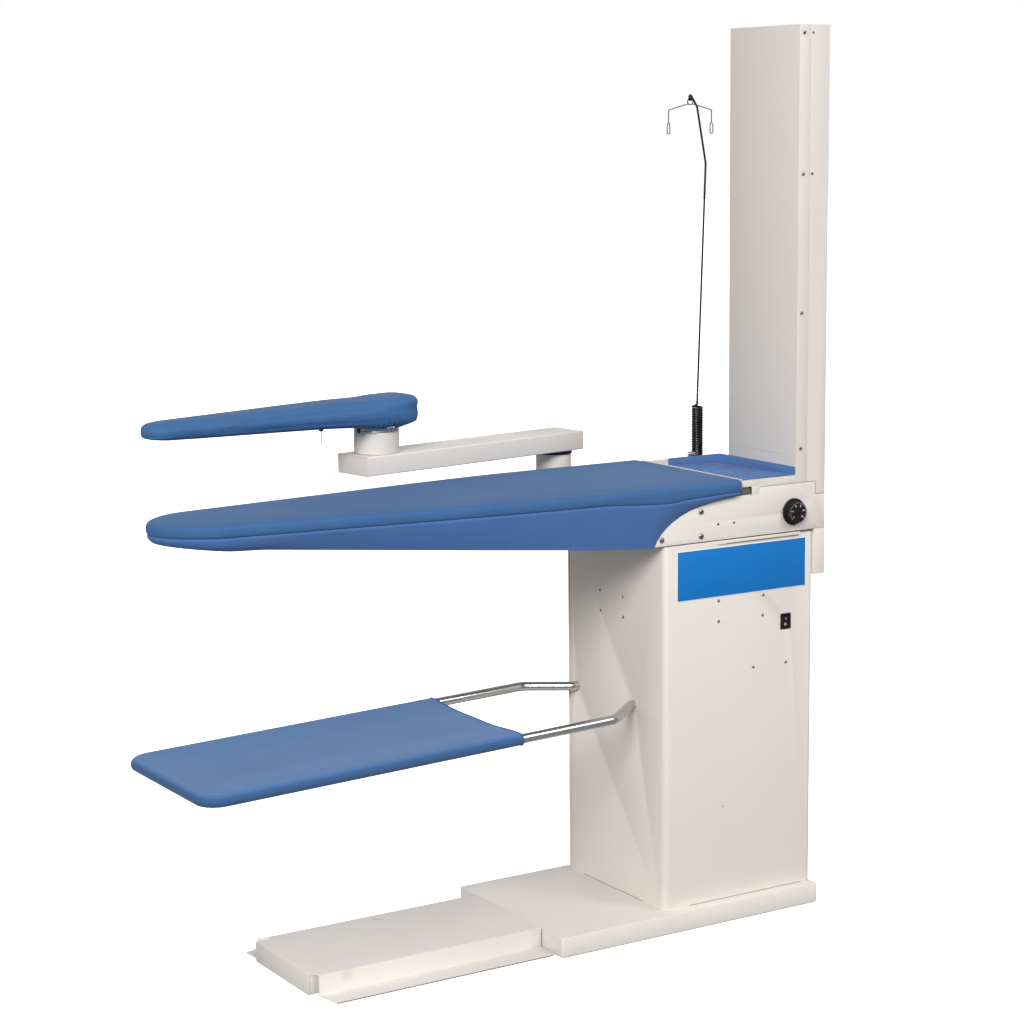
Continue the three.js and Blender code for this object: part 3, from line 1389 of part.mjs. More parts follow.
function addStopTab() {
  const { width, drop, thick, fromPivot, side } = stopTab;
  const top = sleeveLow(-fromPivot) - seat;
  const middle = -fromPivot;
  place('swivel_stop', block(
    middle - thick / 2, side - width / 2, top - drop, middle + thick / 2, side + width / 2, top,
  ), zinc, sleeveGroup);
}

// Iron rest: a moulded mat with a ribbed floor, tall at the rear and at the chimney side
function addTray() {
  const { left, right, front, rear, floor, rim, wall, lip, ribs, rib, ribWidth, margin } = tray;
  const low = shelfTop + seat;
  const over = low + rim + overrun;
  const mat = block(left, front, low, right, rear, low + rim);
  const hollow = block(left + wall, front + wall, low + floor, right - wall, rear - wall, over);
  const past = 2 * wall;
  const lowLeft = block(
    left - overrun, front - overrun, low + lip, left + past, rear - wall, over,
  );
  const lowFront = block(
    left - overrun, front - overrun, low + lip, right - wall, front + past, over,
  );
  const pitch = (rear - front - 2 * margin) / ribs;
  const floorRibs = Array.from({ length: ribs }, (_, index) => {
    const y = front + margin + pitch * (index + 1 / 2);
    return block(
      left + margin, y - ribWidth / 2, low + floor / 2,
      right - margin, y + ribWidth / 2, low + floor + rib,
    );
  });
  place('iron_tray', join(cut(mat, hollow, lowLeft, lowFront), ...floorRibs), blueSilicone);
}

// Hose support: a coil foot bolted to the shelf, and a bent rod that ends in a hook
function addRodFoot() {
  const { x, y, bossRadius, bossHeight } = rod;
  const { length, width, corner, thick, offset, boltX, boltRadius, boltHeight } = rodPlate;
  const left = x + offset - length / 2;
  const top = shelfTop + thick;
  const plate = prism(
    rectangle(left, y - width / 2, left + length, y + width / 2, corner), shelfTop, top, 'z', 2,
  );
  const root = shelfTop + thick / 2;
  const boss = bar(bossRadius, root, top + bossHeight, smallRound, x, y);
  const bolt = bar(boltRadius, root, top + boltHeight, hexSides, x + boltX, y);
  place('rod_foot', join(plate, boss, bolt), zinc);
}

function coilRoute() {
  const { x, y, coilRadius, pitch, turns, neckRise } = rod;
  const onCoil = (angle, share, z) => vector(
    x + coilRadius * share * Math.cos(angle), y + coilRadius * share * Math.sin(angle), z,
  );
  const route = Array.from({ length: turns * coilSteps + 1 }, (_, step) => {
    const turn = step / coilSteps;
    return onCoil(turn * 2 * Math.PI, 1, coilFoot + turn * pitch);
  });
  const inAngle = turns * 2 * Math.PI + 1 - coilEndShare;
  route.push(
    onCoil(inAngle, coilEndShare, coilTop + neckRise / 2), vector(x, y, coilTop + neckRise),
    vector(x, y, coilTop + neckRise * 2),
  );
  return route;
}

// The least distance between turns of the coil, wire face to wire face
function coilSelfGap(route) {
  const apart = coilSteps / 2 + 2;
  let least = Infinity;
  route.forEach((point, index) => {
    route.slice(index + apart).forEach((other) => {
      least = Math.min(least, point.distanceTo(other));
    });
  });
  return least - 2 * rod.wire;
}

function rodTipRoute() {
  const { x, y, wire, neckRise, lean, leanHeight, kneeShift, kneeHeight, hookX, hookCurl } = rod;
  const { bend, hookBend, tipBend } = rod;
  const start = coilTop + 2 * neckRise + seat;
  const tipX = x + hookX - wire;
  const corners = [
    vector(x, y, start), vector(x, y, start + neckRise), vector(x + lean, y, shelfTop + leanHeight),
    vector(x + kneeShift, y, shelfTop + kneeHeight), vector(x + hookX, y, hookTop),
    vector(tipX, y, hookLow), vector(tipX, y - hookCurl, hookLow),
    vector(tipX, y - hookCurl, hookLow + hookCurl),
  ];
  return bentRoute(corners, [0, hookBend, bend, bend, tipBend, tipBend, tipBend, 0], cornerSteps);
}

function addRod() {
  const coil = coilRoute();
  console.log('coil self gap in mm', coilSelfGap(coil).toFixed(2));
  place('rod_spring', sweep(coil, rod.wire, wireSides), blackSteel);
  place('hose_rod', sweep(rodTipRoute(), rod.wire, hexSides), blackSteel);
}

// Hose yoke: one wire with a ring in its middle and a long eye at each end, hung on the hook
function yokeSide(sign) {
  const { wire, ring, half, armDrop, leg, eyeLength, eyeHalf } = yoke;
  const foot = -ring;
  const armEnd = foot - armDrop;
  const eyeTop = armEnd - leg;
  const eyeLow = eyeTop - eyeLength;
  const shoulder = eyeTop - eyeLength * yokeShoulderShare;
  const inner = sign * (half - eyeHalf);
  const outer = sign * (half + eyeHalf);
  return [
    vector(sign * (half - wire * 2), wire, eyeTop - wire), vector(inner, wire / 2, shoulder),
    vector(inner, 0, eyeLow), vector(outer, 0, eyeLow), vector(outer, 0, shoulder),
    vector(sign * half, 0, eyeTop), vector(sign * half, 0, armEnd),
    vector(sign * ring, -sign * wire * 1.5, foot + wire),
  ];
}

// The ring in the yoke's middle, a little more than one turn so that its ends pass each other
function yokeRing() {
  const { wire, ring, lapDeg } = yoke;
  const lap = radians(lapDeg);
  return Array.from({ length: tubeSides + 1 }, (_, step) => {
    const share = step / tubeSides;
    const angle = -Math.PI / 2 - lap + (2 * Math.PI + 2 * lap) * share;
    return vector(ring * Math.cos(angle), wire * 3 * (share - 1 / 2), ring * Math.sin(angle));
  });
}

function addYoke() {
  const { wire, ring, eyeHalf, bend } = yoke;
  const corner = eyeHalf - wire / 2;
  const bends = [0, corner, corner, corner, corner, bend, bend, 0];
  const smooth = (sign) => bentRoute(yokeSide(sign), bends, 2);
  const route = [...smooth(-1), ...yokeRing(), ...smooth(1).reverse()];
  const centre = vector(
    rod.x + rod.hookX - rod.wire, rod.y - rod.hookCurl / 2, hookLow + rod.wire + seat + wire - ring,
  );
  place('hose_yoke', sweep(route.map((point) => point.add(centre)), wire, wireSides), blackSteel);
}

addBase();
addPedal();
addPedalHinge();
addPedalSpring();
addPedalSwitch();
addCabinet();
addRearPanel();
addGland();
addBlower();
addSuctionSleeve();
addChamber();
addHeatPlate();
addHeater();
addFelt();
addCover();
addFrontPanel();
addRearSidePanel();
addHeadEnd();
addShelf();
addChimney();
addChimneyCover();
addElbowDuct();
addSwitch();
addRocker();
addControlBox();
addThermostat();
addKnob();
addCatcher();
addSockets();
addPost();
addArm();
addSleeveChamber();
addSleeveCover();
addNeck();
addNeckBand();
addStopTab();
addTray();
addRodFoot();
addRod();
addYoke();

export default table;
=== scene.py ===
# %% [markdown]
# A vacuum ironing table has a heated board under a padded blue cover, on a cabinet of painted
# sheet steel with a blower inside. A chimney carries the exhaust air up behind the iron rest.
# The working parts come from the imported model. This scene gives them their finish, makes the
# soft covers, wires and tubes again as fine meshes, and adds screws, print and gap lines.

# %% The frame
import json
import math

import bmesh
import bpy
from mathutils import Matrix, Vector, noise


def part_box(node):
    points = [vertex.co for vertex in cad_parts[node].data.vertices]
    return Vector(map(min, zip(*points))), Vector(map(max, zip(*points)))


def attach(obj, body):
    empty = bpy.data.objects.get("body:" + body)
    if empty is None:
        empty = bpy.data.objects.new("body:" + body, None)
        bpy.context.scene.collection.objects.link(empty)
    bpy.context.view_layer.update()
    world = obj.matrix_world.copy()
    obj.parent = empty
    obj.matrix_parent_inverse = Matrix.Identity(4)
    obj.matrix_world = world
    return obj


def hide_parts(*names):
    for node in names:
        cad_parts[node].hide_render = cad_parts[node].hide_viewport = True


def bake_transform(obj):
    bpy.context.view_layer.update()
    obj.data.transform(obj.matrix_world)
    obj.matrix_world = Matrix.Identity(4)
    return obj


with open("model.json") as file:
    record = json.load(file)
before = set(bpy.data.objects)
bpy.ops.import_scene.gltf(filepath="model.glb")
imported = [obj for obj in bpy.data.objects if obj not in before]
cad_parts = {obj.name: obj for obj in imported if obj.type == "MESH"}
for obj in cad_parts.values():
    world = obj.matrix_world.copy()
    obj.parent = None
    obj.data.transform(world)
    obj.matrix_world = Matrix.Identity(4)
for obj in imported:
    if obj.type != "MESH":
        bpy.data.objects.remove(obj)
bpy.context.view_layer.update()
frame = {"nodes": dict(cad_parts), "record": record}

MM = 0.001
TURN = 2 * math.pi

# %% [markdown]
# The tables below hold millimetres, as read off the model, and Blender works in metres. These
# small helpers convert a place, limit or ease a share, and put new data into the scene.

# %% Small helpers


def mm(*values):
    return Vector(values) * MM


def clamped(value, low=0.0, high=1.0):
    return min(max(value, low), high)


def eased(share):
    return share * share * (3 - 2 * share)


def on_circle(angle):
    return Vector((math.cos(angle), math.sin(angle)))


def new_object(name, data):
    piece = bpy.data.objects.new(name, data)
    bpy.context.collection.objects.link(piece)
    return piece


# %% [markdown]
# The camera stands where the photographer stood: in front, left of the table and a little above
# the board, with a long lens. The image is taken to be 1024 pixels square.

# %% Camera
CAMERA_PLACE = Vector((-2.8150, -4.0373, 1.6361))
CAMERA_YAW = math.radians(31.83)
CAMERA_PITCH = math.radians(9.11)
CAMERA_ROLL = math.radians(-0.52)
IMAGE_PIXELS = 1024
FOCAL_PIXELS = 2398.1
SENSOR_MM = 36


def add_camera():
    forward = Vector((
        math.sin(CAMERA_YAW) * math.cos(CAMERA_PITCH),
        math.cos(CAMERA_YAW) * math.cos(CAMERA_PITCH),
        -math.sin(CAMERA_PITCH),
    ))
    level = Vector((math.cos(CAMERA_YAW), -math.sin(CAMERA_YAW), 0))
    rise = level.cross(forward)
    right = level * math.cos(CAMERA_ROLL) + rise * math.sin(CAMERA_ROLL)
    up = rise * math.cos(CAMERA_ROLL) - level * math.sin(CAMERA_ROLL)
    data = bpy.data.cameras.new("photo_camera")
    data.sensor_width = SENSOR_MM
    data.sensor_fit = "HORIZONTAL"
    data.lens = FOCAL_PIXELS / IMAGE_PIXELS * SENSOR_MM
    data.clip_end = 100
    camera = new_object("photo_camera", data)
    turn = Matrix((right, up, -forward)).transposed().to_4x4()
    camera.matrix_world = Matrix.Translation(CAMERA_PLACE) @ turn
    bpy.context.scene.camera = camera
    print("lens", round(data.lens, 2), "mm")


add_camera()

# %% [markdown]
# The room and every finish are small node trees. One helper adds a node with its values set,
# and another joins two nodes, so that each recipe below stays short.

# %% Node helpers


def add_node(owner, kind, **values):
    """A value goes to the node's own setting of that name, or else to its socket."""
    node = owner.node_tree.nodes.new(kind)
    for key, value in values.items():
        if hasattr(node, key):
            setattr(node, key, value)
        else:
            node.inputs[key.replace("_", " ").title()].default_value = value
    return node


def join(owner, source, output, target, socket):
    owner.node_tree.links.new(source.outputs[output], target.inputs[socket])


def new_finish(name, roughness, metallic=0.0):
    material = bpy.data.materials.new(name)
    material.use_nodes = True
    shader = material.node_tree.nodes["Principled BSDF"]
    shader.inputs["Roughness"].default_value = roughness
    shader.inputs["Metallic"].default_value = metallic
    return material, shader


# %% [markdown]
# A product photograph on white has a bright wall behind and lamps in a dim room. The key light
# stands at the front left, a weaker one at the front right fills its shadows, and a small one
# lights the left side. The floor and the room look white to the camera only, as a cut-out
# background would, and light the table no more than a dim room does.

# %% Light and floor
FLOOR_HALF = 40
FLOOR_DROP = 0.5 * MM
FLOOR_GREY = 0.95
FLOOR_GLOW = 0.9
SUN_DISTANCE = 6
# Each sun: the direction towards it, its width in degrees and its strength.
SUNS = {
    "key_light": ((-0.60, -0.62, 0.50), 24, 2.42),
    "fill_light": ((0.39, -0.68, 0.62), 25, 1.10),
    "side_light": ((-0.92, -0.17, 0.35), 30, 0.30),
}
WALL_TOWARDS = (0.5275, 0.85, 0.0)
WALL_EDGE = (0.80, 0.90)
ROOM_LEVEL = 0.317
WHITE = (1, 1, 1, 1)


def add_room():
    world = bpy.data.worlds.new("white_room")
    world.use_nodes = True
    place = add_node(world, "ShaderNodeTexCoord")
    towards = add_node(world, "ShaderNodeVectorMath", operation="DOT_PRODUCT")
    towards.inputs[1].default_value = WALL_TOWARDS
    fall = add_node(
        world, "ShaderNodeMapRange", interpolation_type="SMOOTHSTEP",
        from_min=WALL_EDGE[0], from_max=WALL_EDGE[1], to_min=ROOM_LEVEL, to_max=1.0,
    )
    ray = add_node(world, "ShaderNodeLightPath")
    seen = add_node(world, "ShaderNodeMath", operation="MAXIMUM")
    background = world.node_tree.nodes["Background"]
    background.inputs["Color"].default_value = WHITE
    join(world, place, "Generated", towards, 0)
    join(world, towards, "Value", fall, "Value")
    join(world, fall, "Result", seen, 0)
    join(world, ray, "Is Camera Ray", seen, 1)
    join(world, seen, "Value", background, "Strength")
    bpy.context.scene.world = world
    bpy.context.scene.view_settings.view_transform = "Standard"


def add_lights():
    for name, (direction, softness, strength) in SUNS.items():
        data = bpy.data.lights.new(name, "SUN")
        data.angle = math.radians(softness)
        data.energy = strength
        lamp = new_object(name, data)
        lamp.location = Vector(direction) * SUN_DISTANCE
        lamp.rotation_euler = Vector(direction).to_track_quat("Z", "Y").to_euler()


def add_floor():
    bpy.ops.mesh.primitive_plane_add(size=2 * FLOOR_HALF, location=(0, 0, -FLOOR_DROP))
    floor = bpy.context.object
    floor.name = "studio_floor"
    material, shader = new_finish("studio_white", 0.9)
    shader.inputs["Base Color"].default_value = (FLOOR_GREY, FLOOR_GREY, FLOOR_GREY, 1)
    shader.inputs["Emission Color"].default_value = WHITE
    shader.inputs["Emission Strength"].default_value = FLOOR_GLOW
    floor.data.materials.append(material)
    floor.visible_diffuse = False
    floor.visible_glossy = False


add_room()
add_lights()
add_floor()

# %% [markdown]
# The finishes share a few layers: two tones in soft patches, a gloss that wanders, and a fine
# grain as bump. Each layer is one call here.

# %% Finish layers
# Sockets of a colour mix: its two colours and its result.
FIRST, SECOND, MIXED = 6, 7, 2


def tinted(colour, share):
    return tuple(channel * share for channel in colour) + (1,)


def add_ramp(material, *stops):
    ramp = add_node(material, "ShaderNodeValToRGB")
    for element, (position, colour) in zip(ramp.color_ramp.elements, stops):
        element.position = position
        element.color = colour
    return ramp


def mix_colours(material, first, second, mode, factor=1.0):
    """First and second are the output sockets to mix."""
    node = add_node(material, "ShaderNodeMix", data_type="RGBA", blend_type=mode, factor=factor)
    material.node_tree.links.new(first, node.inputs[FIRST])
    material.node_tree.links.new(second, node.inputs[SECOND])
    return node


def add_noise(material, place, scale, detail, stretch=None):
    """Noise in the piece's own coordinates, drawn out where a stretch is given."""
    texture = add_node(material, "ShaderNodeTexNoise", scale=scale, detail=detail)
    if not stretch:
        join(material, place, "Object", texture, "Vector")
        return texture
    mapping = add_node(material, "ShaderNodeMapping", scale=stretch)
    join(material, place, "Object", mapping, "Vector")
    join(material, mapping, "Vector", texture, "Vector")
    return texture


def add_patches(material, shader, dark, light, scale, detail=4):
    """Two tones of one colour in soft patches, on the base colour."""
    place = add_node(material, "ShaderNodeTexCoord")
    patches = add_noise(material, place, scale, detail)
    ramp = add_ramp(material, (0.3, dark), (0.7, light))
    join(material, patches, "Fac", ramp, "Fac")
    join(material, ramp, "Color", shader, "Base Color")
    return place, ramp


def add_gloss_range(material, shader, place, low, high, scale):
    """Roughness that wanders between two values, as on a handled surface."""
    smears = add_noise(material, place, scale, 5)
    spread = add_node(material, "ShaderNodeMapRange", to_min=low, to_max=high)
    join(material, smears, "Fac", spread, "Value")
    join(material, spread, "Result", shader, "Roughness")


def add_bump(material, shader, source, output, strength, depth):
    bump = add_node(material, "ShaderNodeBump", strength=strength, distance=depth)
    join(material, source, output, bump, "Height")
    join(material, bump, "Normal", shader, "Normal")
    return bump


def add_grain(material, shader, place, scale, detail, strength, depth, stretch=None):
    grain = add_noise(material, place, scale, detail, stretch)
    add_bump(material, shader, grain, "Fac", strength, depth)


# %% [markdown]
# Powder-coated steel is an even cream with a fine orange peel. Handling leaves faint patches
# that shine a little more or less.

# %% Painted steel


def painted_steel(name, colour, roughness, peel_scale=700):
    material, shader = new_finish(name, roughness)
    place, _ = add_patches(material, shader, tinted(colour, 0.965), tinted(colour, 1.0), 2.5)
    add_gloss_range(material, shader, place, roughness - 0.06, roughness + 0.08, 9)
    add_grain(material, shader, place, peel_scale, 1, 0.12, 0.0004)
    return material


cream_paint = painted_steel("cream_paint", (0.748, 0.695, 0.637), 0.42)
chamber_paint = painted_steel("chamber_paint", (0.56, 0.53, 0.50), 0.5)
motor_enamel = painted_steel("motor_enamel", (0.05, 0.056, 0.064), 0.5, 300)

# %% [markdown]
# The base and the pedal are trodden on. Their paint is the same cream, with fine scuffs that
# run mostly along the board and catch less light.

# %% Trodden paint


def trodden_paint(name, colour, roughness):
    material, shader = new_finish(name, roughness)
    place, tones = add_patches(material, shader, tinted(colour, 0.94), tinted(colour, 1.0), 3.5, 6)
    scuffs = add_noise(material, place, 1.6, 6, (9, 120, 9))
    marks = add_ramp(material, (0.66, WHITE), (0.78, (0.86, 0.85, 0.83, 1)))
    join(material, scuffs, "Fac", marks, "Fac")
    worn = mix_colours(material, tones.outputs["Color"], marks.outputs["Color"], "MULTIPLY")
    join(material, worn, MIXED, shader, "Base Color")
    add_gloss_range(material, shader, place, roughness - 0.04, roughness + 0.14, 16)
    add_grain(material, shader, place, 600, 1, 0.14, 0.0004)
    return material


base_paint = trodden_paint("base_paint", (0.745, 0.692, 0.640), 0.44)

# %% [markdown]
# The metals differ in how they were worked: chrome is polished, stainless is brushed round the
# neck, zinc plate is dull with a cloudy crystal pattern, and the springs are blackened.

# %% Metals


def bright_metal(name, colour, roughness, scale, spread=0.4):
    """Spread is how far the shine wanders, as a share of the roughness."""
    material, shader = new_finish(name, roughness, 1.0)
    tones = tinted(colour, 1 - spread / 6), tinted(colour, 1.0)
    place, _ = add_patches(material, shader, *tones, scale)
    low, high = roughness * (1 - spread), roughness * (1 + spread)
    add_gloss_range(material, shader, place, low, high, scale * 4)
    return material, shader, place


def brushed_metal(name, colour, roughness, direction):
    material, shader, place = bright_metal(name, colour, roughness, 20)
    add_grain(material, shader, place, 8, 4, 0.12, 0.0002, direction)
    return material


def blackened_steel(name, roughness):
    material, shader = new_finish(name, roughness, 0.55)
    place, _ = add_patches(material, shader, (0.010, 0.010, 0.011, 1), (0.028, 0.028, 0.030, 1), 60)
    add_grain(material, shader, place, 1500, 2, 0.1, 0.0002)
    return material


chrome = bright_metal("chrome", (0.58, 0.59, 0.585), 0.2, 6, 0.15)[0]
zinc = bright_metal("zinc", (0.60, 0.61, 0.62), 0.34, 90)[0]
screw_steel = bright_metal("screw_steel", (0.34, 0.32, 0.30), 0.3, 200)[0]
stainless = brushed_metal("stainless", (0.56, 0.555, 0.55), 0.36, (1, 1, 60))
aluminium = brushed_metal("aluminium", (0.74, 0.75, 0.76), 0.32, (2, 80, 2))
black_steel = blackened_steel("black_steel", 0.38)

# %% [markdown]
# Plastics and rubber: the knob, the switch and the gland are grained black plastic, the iron
# rest is a blue silicone mat, and the sleeve between chamber and blower is rubber.

# %% Plastics and rubber


def moulded(name, dark, light, roughness, grain_scale, grain_strength, specular=0.5):
    material, shader = new_finish(name, roughness)
    shader.inputs["Specular IOR Level"].default_value = specular
    place, _ = add_patches(material, shader, dark + (1,), light + (1,), 12)
    add_gloss_range(material, shader, place, roughness - 0.05, roughness + 0.1, 40)
    grain = add_node(material, "ShaderNodeTexVoronoi", scale=grain_scale)
    join(material, place, "Object", grain, "Vector")
    add_bump(material, shader, grain, "Distance", grain_strength, 0.0002)
    return material


black_plastic = moulded(
    "black_plastic", (0.009, 0.008, 0.007), (0.015, 0.014, 0.013), 0.42, 1600, 0.2, specular=0.22,
)
rubber = moulded("rubber", (0.014, 0.014, 0.014), (0.030, 0.030, 0.030), 0.75, 900, 0.25)
silicone = moulded("blue_silicone", (0.068, 0.152, 0.36), (0.080, 0.172, 0.40), 0.5, 1200, 0.1)
silicone_shader = silicone.node_tree.nodes["Principled BSDF"]
silicone_shader.inputs["Subsurface Weight"].default_value = 0.05
silicone_shader.inputs["Subsurface Scale"].default_value = 0.004
white_print = moulded("white_print", (0.84, 0.84, 0.82), (0.90, 0.90, 0.88), 0.5, 900, 0.05)
# Painted shade for the dark inside of open holes.
hole_painted_shade = moulded("hole_painted_shade", (0.006, 0.006, 0.006), (0.010, 0.010, 0.010), 0.9, 900, 0.05)
# Dark joints between sheets share this finish with painted shade: the shadow under the cabinet's
# lip, the corner recess and the pedal lip's shadow on the floor.
gap_and_painted_shade = moulded("gap_and_painted_shade", (0.13, 0.115, 0.10), (0.17, 0.15, 0.13), 0.9, 900, 0.05)
faint_shade = moulded("faint_shade", (0.42, 0.39, 0.36), (0.48, 0.45, 0.41), 0.8, 900, 0.05)

# %% [markdown]
# The sign plate is printed vinyl: a strong even blue with a narrow white edge, left without
# any words. The blue has the faint flow of a rolled-on film.

# %% Sign film


def sign_film(name, colour):
    material, shader = new_finish(name, 0.5)
    shader.inputs["Specular IOR Level"].default_value = 0.2
    place, _ = add_patches(material, shader, tinted(colour, 0.95), tinted(colour, 1.0), 6)
    add_gloss_range(material, shader, place, 0.44, 0.56, 18)
    add_grain(material, shader, place, 90, 2, 0.05, 0.0002)
    return material


sign_blue = sign_film("sign_blue", (0.007, 0.172, 0.52))
sign_white = sign_film("sign_white", (0.82, 0.82, 0.81))

# %% [markdown]
# The covers are a close plain weave. Two sets of fine ridges cross each other, on the top along
# X and Y and on the sides along the edge and Z, mixed by which way the cloth faces. Softer noise
# gives the faded patches of ironing, and sheen gives the grey bloom at a low angle.

# %% Woven cloth
WAVE_TURNS_PER_SCALE = 20 / TURN
THREAD_SHADE = 0.22
# Painted side shade: below the first facing the colour is fully darkened, above the second it is
# left as it is.
FLAT_FROM, FLAT_FULL = 0.5, 0.97


def thread_ridges(material, place, axis, thread):
    ridges = add_node(
        material, "ShaderNodeTexWave", wave_type="BANDS", bands_direction=axis,
        scale=1 / (thread * WAVE_TURNS_PER_SCALE), distortion=0.6, detail=1,
    )
    join(material, place, "Object", ridges, "Vector")
    return ridges.outputs["Color"]


def woven_cloth(name, dark, light, thread, sheen, fade_scale=5, painted_side_shade=1.0):
    """Painted side shade darkens the cloth's colour where it faces sideways, where shade falls on
    it.
    """
    material, shader = new_finish(name, 0.82)
    shader.inputs["Specular IOR Level"].default_value = 0.3
    shader.inputs["Sheen Weight"].default_value = sheen
    shader.inputs["Sheen Roughness"].default_value = 0.45
    shader.inputs["Sheen Tint"].default_value = (0.72, 0.80, 0.86, 1)
    place, tones = add_patches(material, shader, dark + (1,), light + (1,), fade_scale, 6)
    ridges = {axis: thread_ridges(material, place, axis, thread) for axis in "XYZ"}
    flat = mix_colours(material, ridges["X"], ridges["Y"], "SCREEN").outputs[MIXED]
    upright = mix_colours(material, ridges["Z"], ridges["X"], "SCREEN").outputs[MIXED]
    split = add_node(material, "ShaderNodeSeparateXYZ")
    facing = add_node(material, "ShaderNodeMath", operation="ABSOLUTE")
    join(material, place, "Normal", split, "Vector")
    join(material, split, "Z", facing, 0)
    weave = mix_colours(material, upright, flat, "MIX")
    join(material, facing, 0, weave, "Factor")
    shade = mix_colours(
        material, tones.outputs["Color"], weave.outputs[MIXED], "MULTIPLY", THREAD_SHADE,
    )
    # Mask for painted side shade, from the facing of the normal: 1 where the cloth lies flat, the
    # side shade where it faces sideways.
    lying = add_node(
        material, "ShaderNodeMapRange", interpolation_type="SMOOTHSTEP",
        from_min=FLAT_FROM, from_max=FLAT_FULL, to_min=painted_side_shade,
    )
    join(material, facing, 0, lying, "Value")
    painted_side_colour = add_node(material, "ShaderNodeVectorMath", operation="SCALE")
    join(material, shade, MIXED, painted_side_colour, 0)
    join(material, lying, "Result", painted_side_colour, "Scale")
    join(material, painted_side_colour, "Vector", shader, "Base Color")
    fine = add_node(material, "ShaderNodeBump", strength=0.35, distance=thread * 0.4)
    join(material, weave, MIXED, fine, "Height")
    slack = add_noise(material, place, 16, 3)
    soft = add_bump(material, shader, slack, "Fac", 0.35, 0.004)
    join(material, fine, "Normal", soft, "Normal")
    return material


cover_cloth = woven_cloth("cover_cloth", (0.041, 0.126, 0.300), (0.049, 0.144, 0.330), 0.0011, 0.10)
# The skirt's cloth is the cover's cloth made lighter and a little more violet. The lightness is
# painted light standing in for light bounced up from the floor, and the violet hue is the skirt's
# own.
skirt_cloth_painted_bounce = woven_cloth("skirt_cloth_painted_bounce", (0.059, 0.148, 0.375), (0.070, 0.168, 0.412), 0.0011, 0.10)
# The catcher's cloth carries painted shade on its sides, where it turns down round the tubes.
catcher_cloth = woven_cloth(
    "catcher_cloth", (0.062, 0.168, 0.385), (0.070, 0.184, 0.420), 0.0009, 0.2, painted_side_shade=0.62,
)
hem_cloth = woven_cloth("hem_cloth", (0.026, 0.090, 0.250), (0.032, 0.105, 0.280), 0.0007, 0.15, 20)

# %% [markdown]
# The felt under the cover is a grey needled fleece, and a finer mix of bright and dark fibres.

# %% Felt
felt, felt_shader = new_finish("grey_felt", 0.95)
felt_tones = (0.20, 0.205, 0.21, 1), (0.34, 0.345, 0.35, 1)
felt_place, _ = add_patches(felt, felt_shader, *felt_tones, 220, 6)
add_grain(felt, felt_shader, felt_place, 900, 6, 0.6, 0.0008)

# %% [markdown]
# Helpers for modelling. An operator works on all that is selected, so each step first clears
# the selection, and faces are then chosen by their place or the way they face.

# %% Modelling helpers


def pick_only(piece):
    bpy.ops.object.select_all(action="DESELECT")
    piece.select_set(True)
    bpy.context.view_layer.objects.active = piece


def apply_modifier(piece, kind, **values):
    pick_only(piece)
    modifier = piece.modifiers.new(kind.lower(), kind)
    for key, value in values.items():
        setattr(modifier, key, value)
    bpy.ops.object.modifier_apply(modifier=modifier.name)


def cut_away(piece, cutter):
    apply_modifier(piece, "BOOLEAN", object=cutter, operation="DIFFERENCE", solver="EXACT")
    bpy.data.objects.remove(cutter)


def freeze(piece):
    pick_only(piece)
    bpy.ops.object.transform_apply(location=True, rotation=True, scale=True)


def settle(piece, name, material, body, *nodes, carried=None):
    """Names and paints the piece, carries it to its place, and lets it ride on its body."""
    pick_only(piece)
    if piece.type != "MESH":
        bpy.ops.object.convert(target="MESH")
    if carried:
        piece.data.transform(carried)
    freeze(piece)
    piece.name = name
    piece.data.name = name
    piece.data.materials.clear()
    piece.data.materials.append(material)
    if body:
        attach(piece, body)
    if nodes:
        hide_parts(*nodes)
    return piece


def smooth_by_angle(piece, degrees=32):
    pick_only(piece)
    bpy.ops.object.shade_smooth_by_angle(angle=math.radians(degrees))


def face_outward(piece):
    pick_only(piece)
    bpy.ops.object.mode_set(mode="EDIT")
    bpy.ops.mesh.select_all(action="SELECT")
    bpy.ops.mesh.remove_doubles(threshold=0.00001)
    bpy.ops.mesh.normals_make_consistent(inside=False)
    bpy.ops.object.mode_set(mode="OBJECT")


def mesh_piece(name, points, faces):
    mesh = bpy.data.meshes.new(name)
    mesh.from_pydata([tuple(point) for point in points], [], faces)
    mesh.validate()
    return new_object(name, mesh)


def thin_plate(name, points, thickness, material, body, faces=((0, 1, 2, 3),)):
    """Flat faces given a thickness, half of it to each side."""
    plate = mesh_piece(name, points, faces)
    apply_modifier(plate, "SOLIDIFY", thickness=thickness, offset=0)
    face_outward(plate)
    return settle(plate, name, material, body)


def add_box(name, low, high, material, rounding=0.0, body="stand"):
    """A box between two corners in millimetres, with its edges rounded where a radius is given."""
    low, high = mm(*low), mm(*high)
    bpy.ops.mesh.primitive_cube_add(size=1, location=(low + high) / 2)
    box = bpy.context.object
    box.scale = high - low
    freeze(box)
    if rounding:
        apply_modifier(box, "BEVEL", width=rounding * MM, segments=2)
        smooth_by_angle(box)
    return settle(box, name, material, body)


def cylinder(sides, radius, depth, place, turn=(0, 0, 0)):
    bpy.ops.mesh.primitive_cylinder_add(
        vertices=sides, radius=radius, depth=depth, location=place, rotation=turn,
    )
    return bpy.context.object


def add_wire(name, route, radius, material, body, *nodes, closed=False, sides=6, carried=None):
    """A round wire or tube along a route, as a curve with a round section made a mesh."""
    curve = bpy.data.curves.new(name, "CURVE")
    curve.dimensions = "3D"
    curve.bevel_depth = radius
    curve.bevel_resolution = sides
    curve.use_fill_caps = not closed
    spline = curve.splines.new("POLY")
    spline.points.add(len(route) - 1)
    for point, place in zip(spline.points, route):
        point.co = (*place, 1)
    spline.use_cyclic_u = closed
    piece = new_object(name, curve)
    pick_only(piece)
    bpy.ops.object.convert(target="MESH")
    face_outward(piece)
    smooth_by_angle(piece, 50)
    return settle(piece, name, material, body, *nodes, carried=carried)


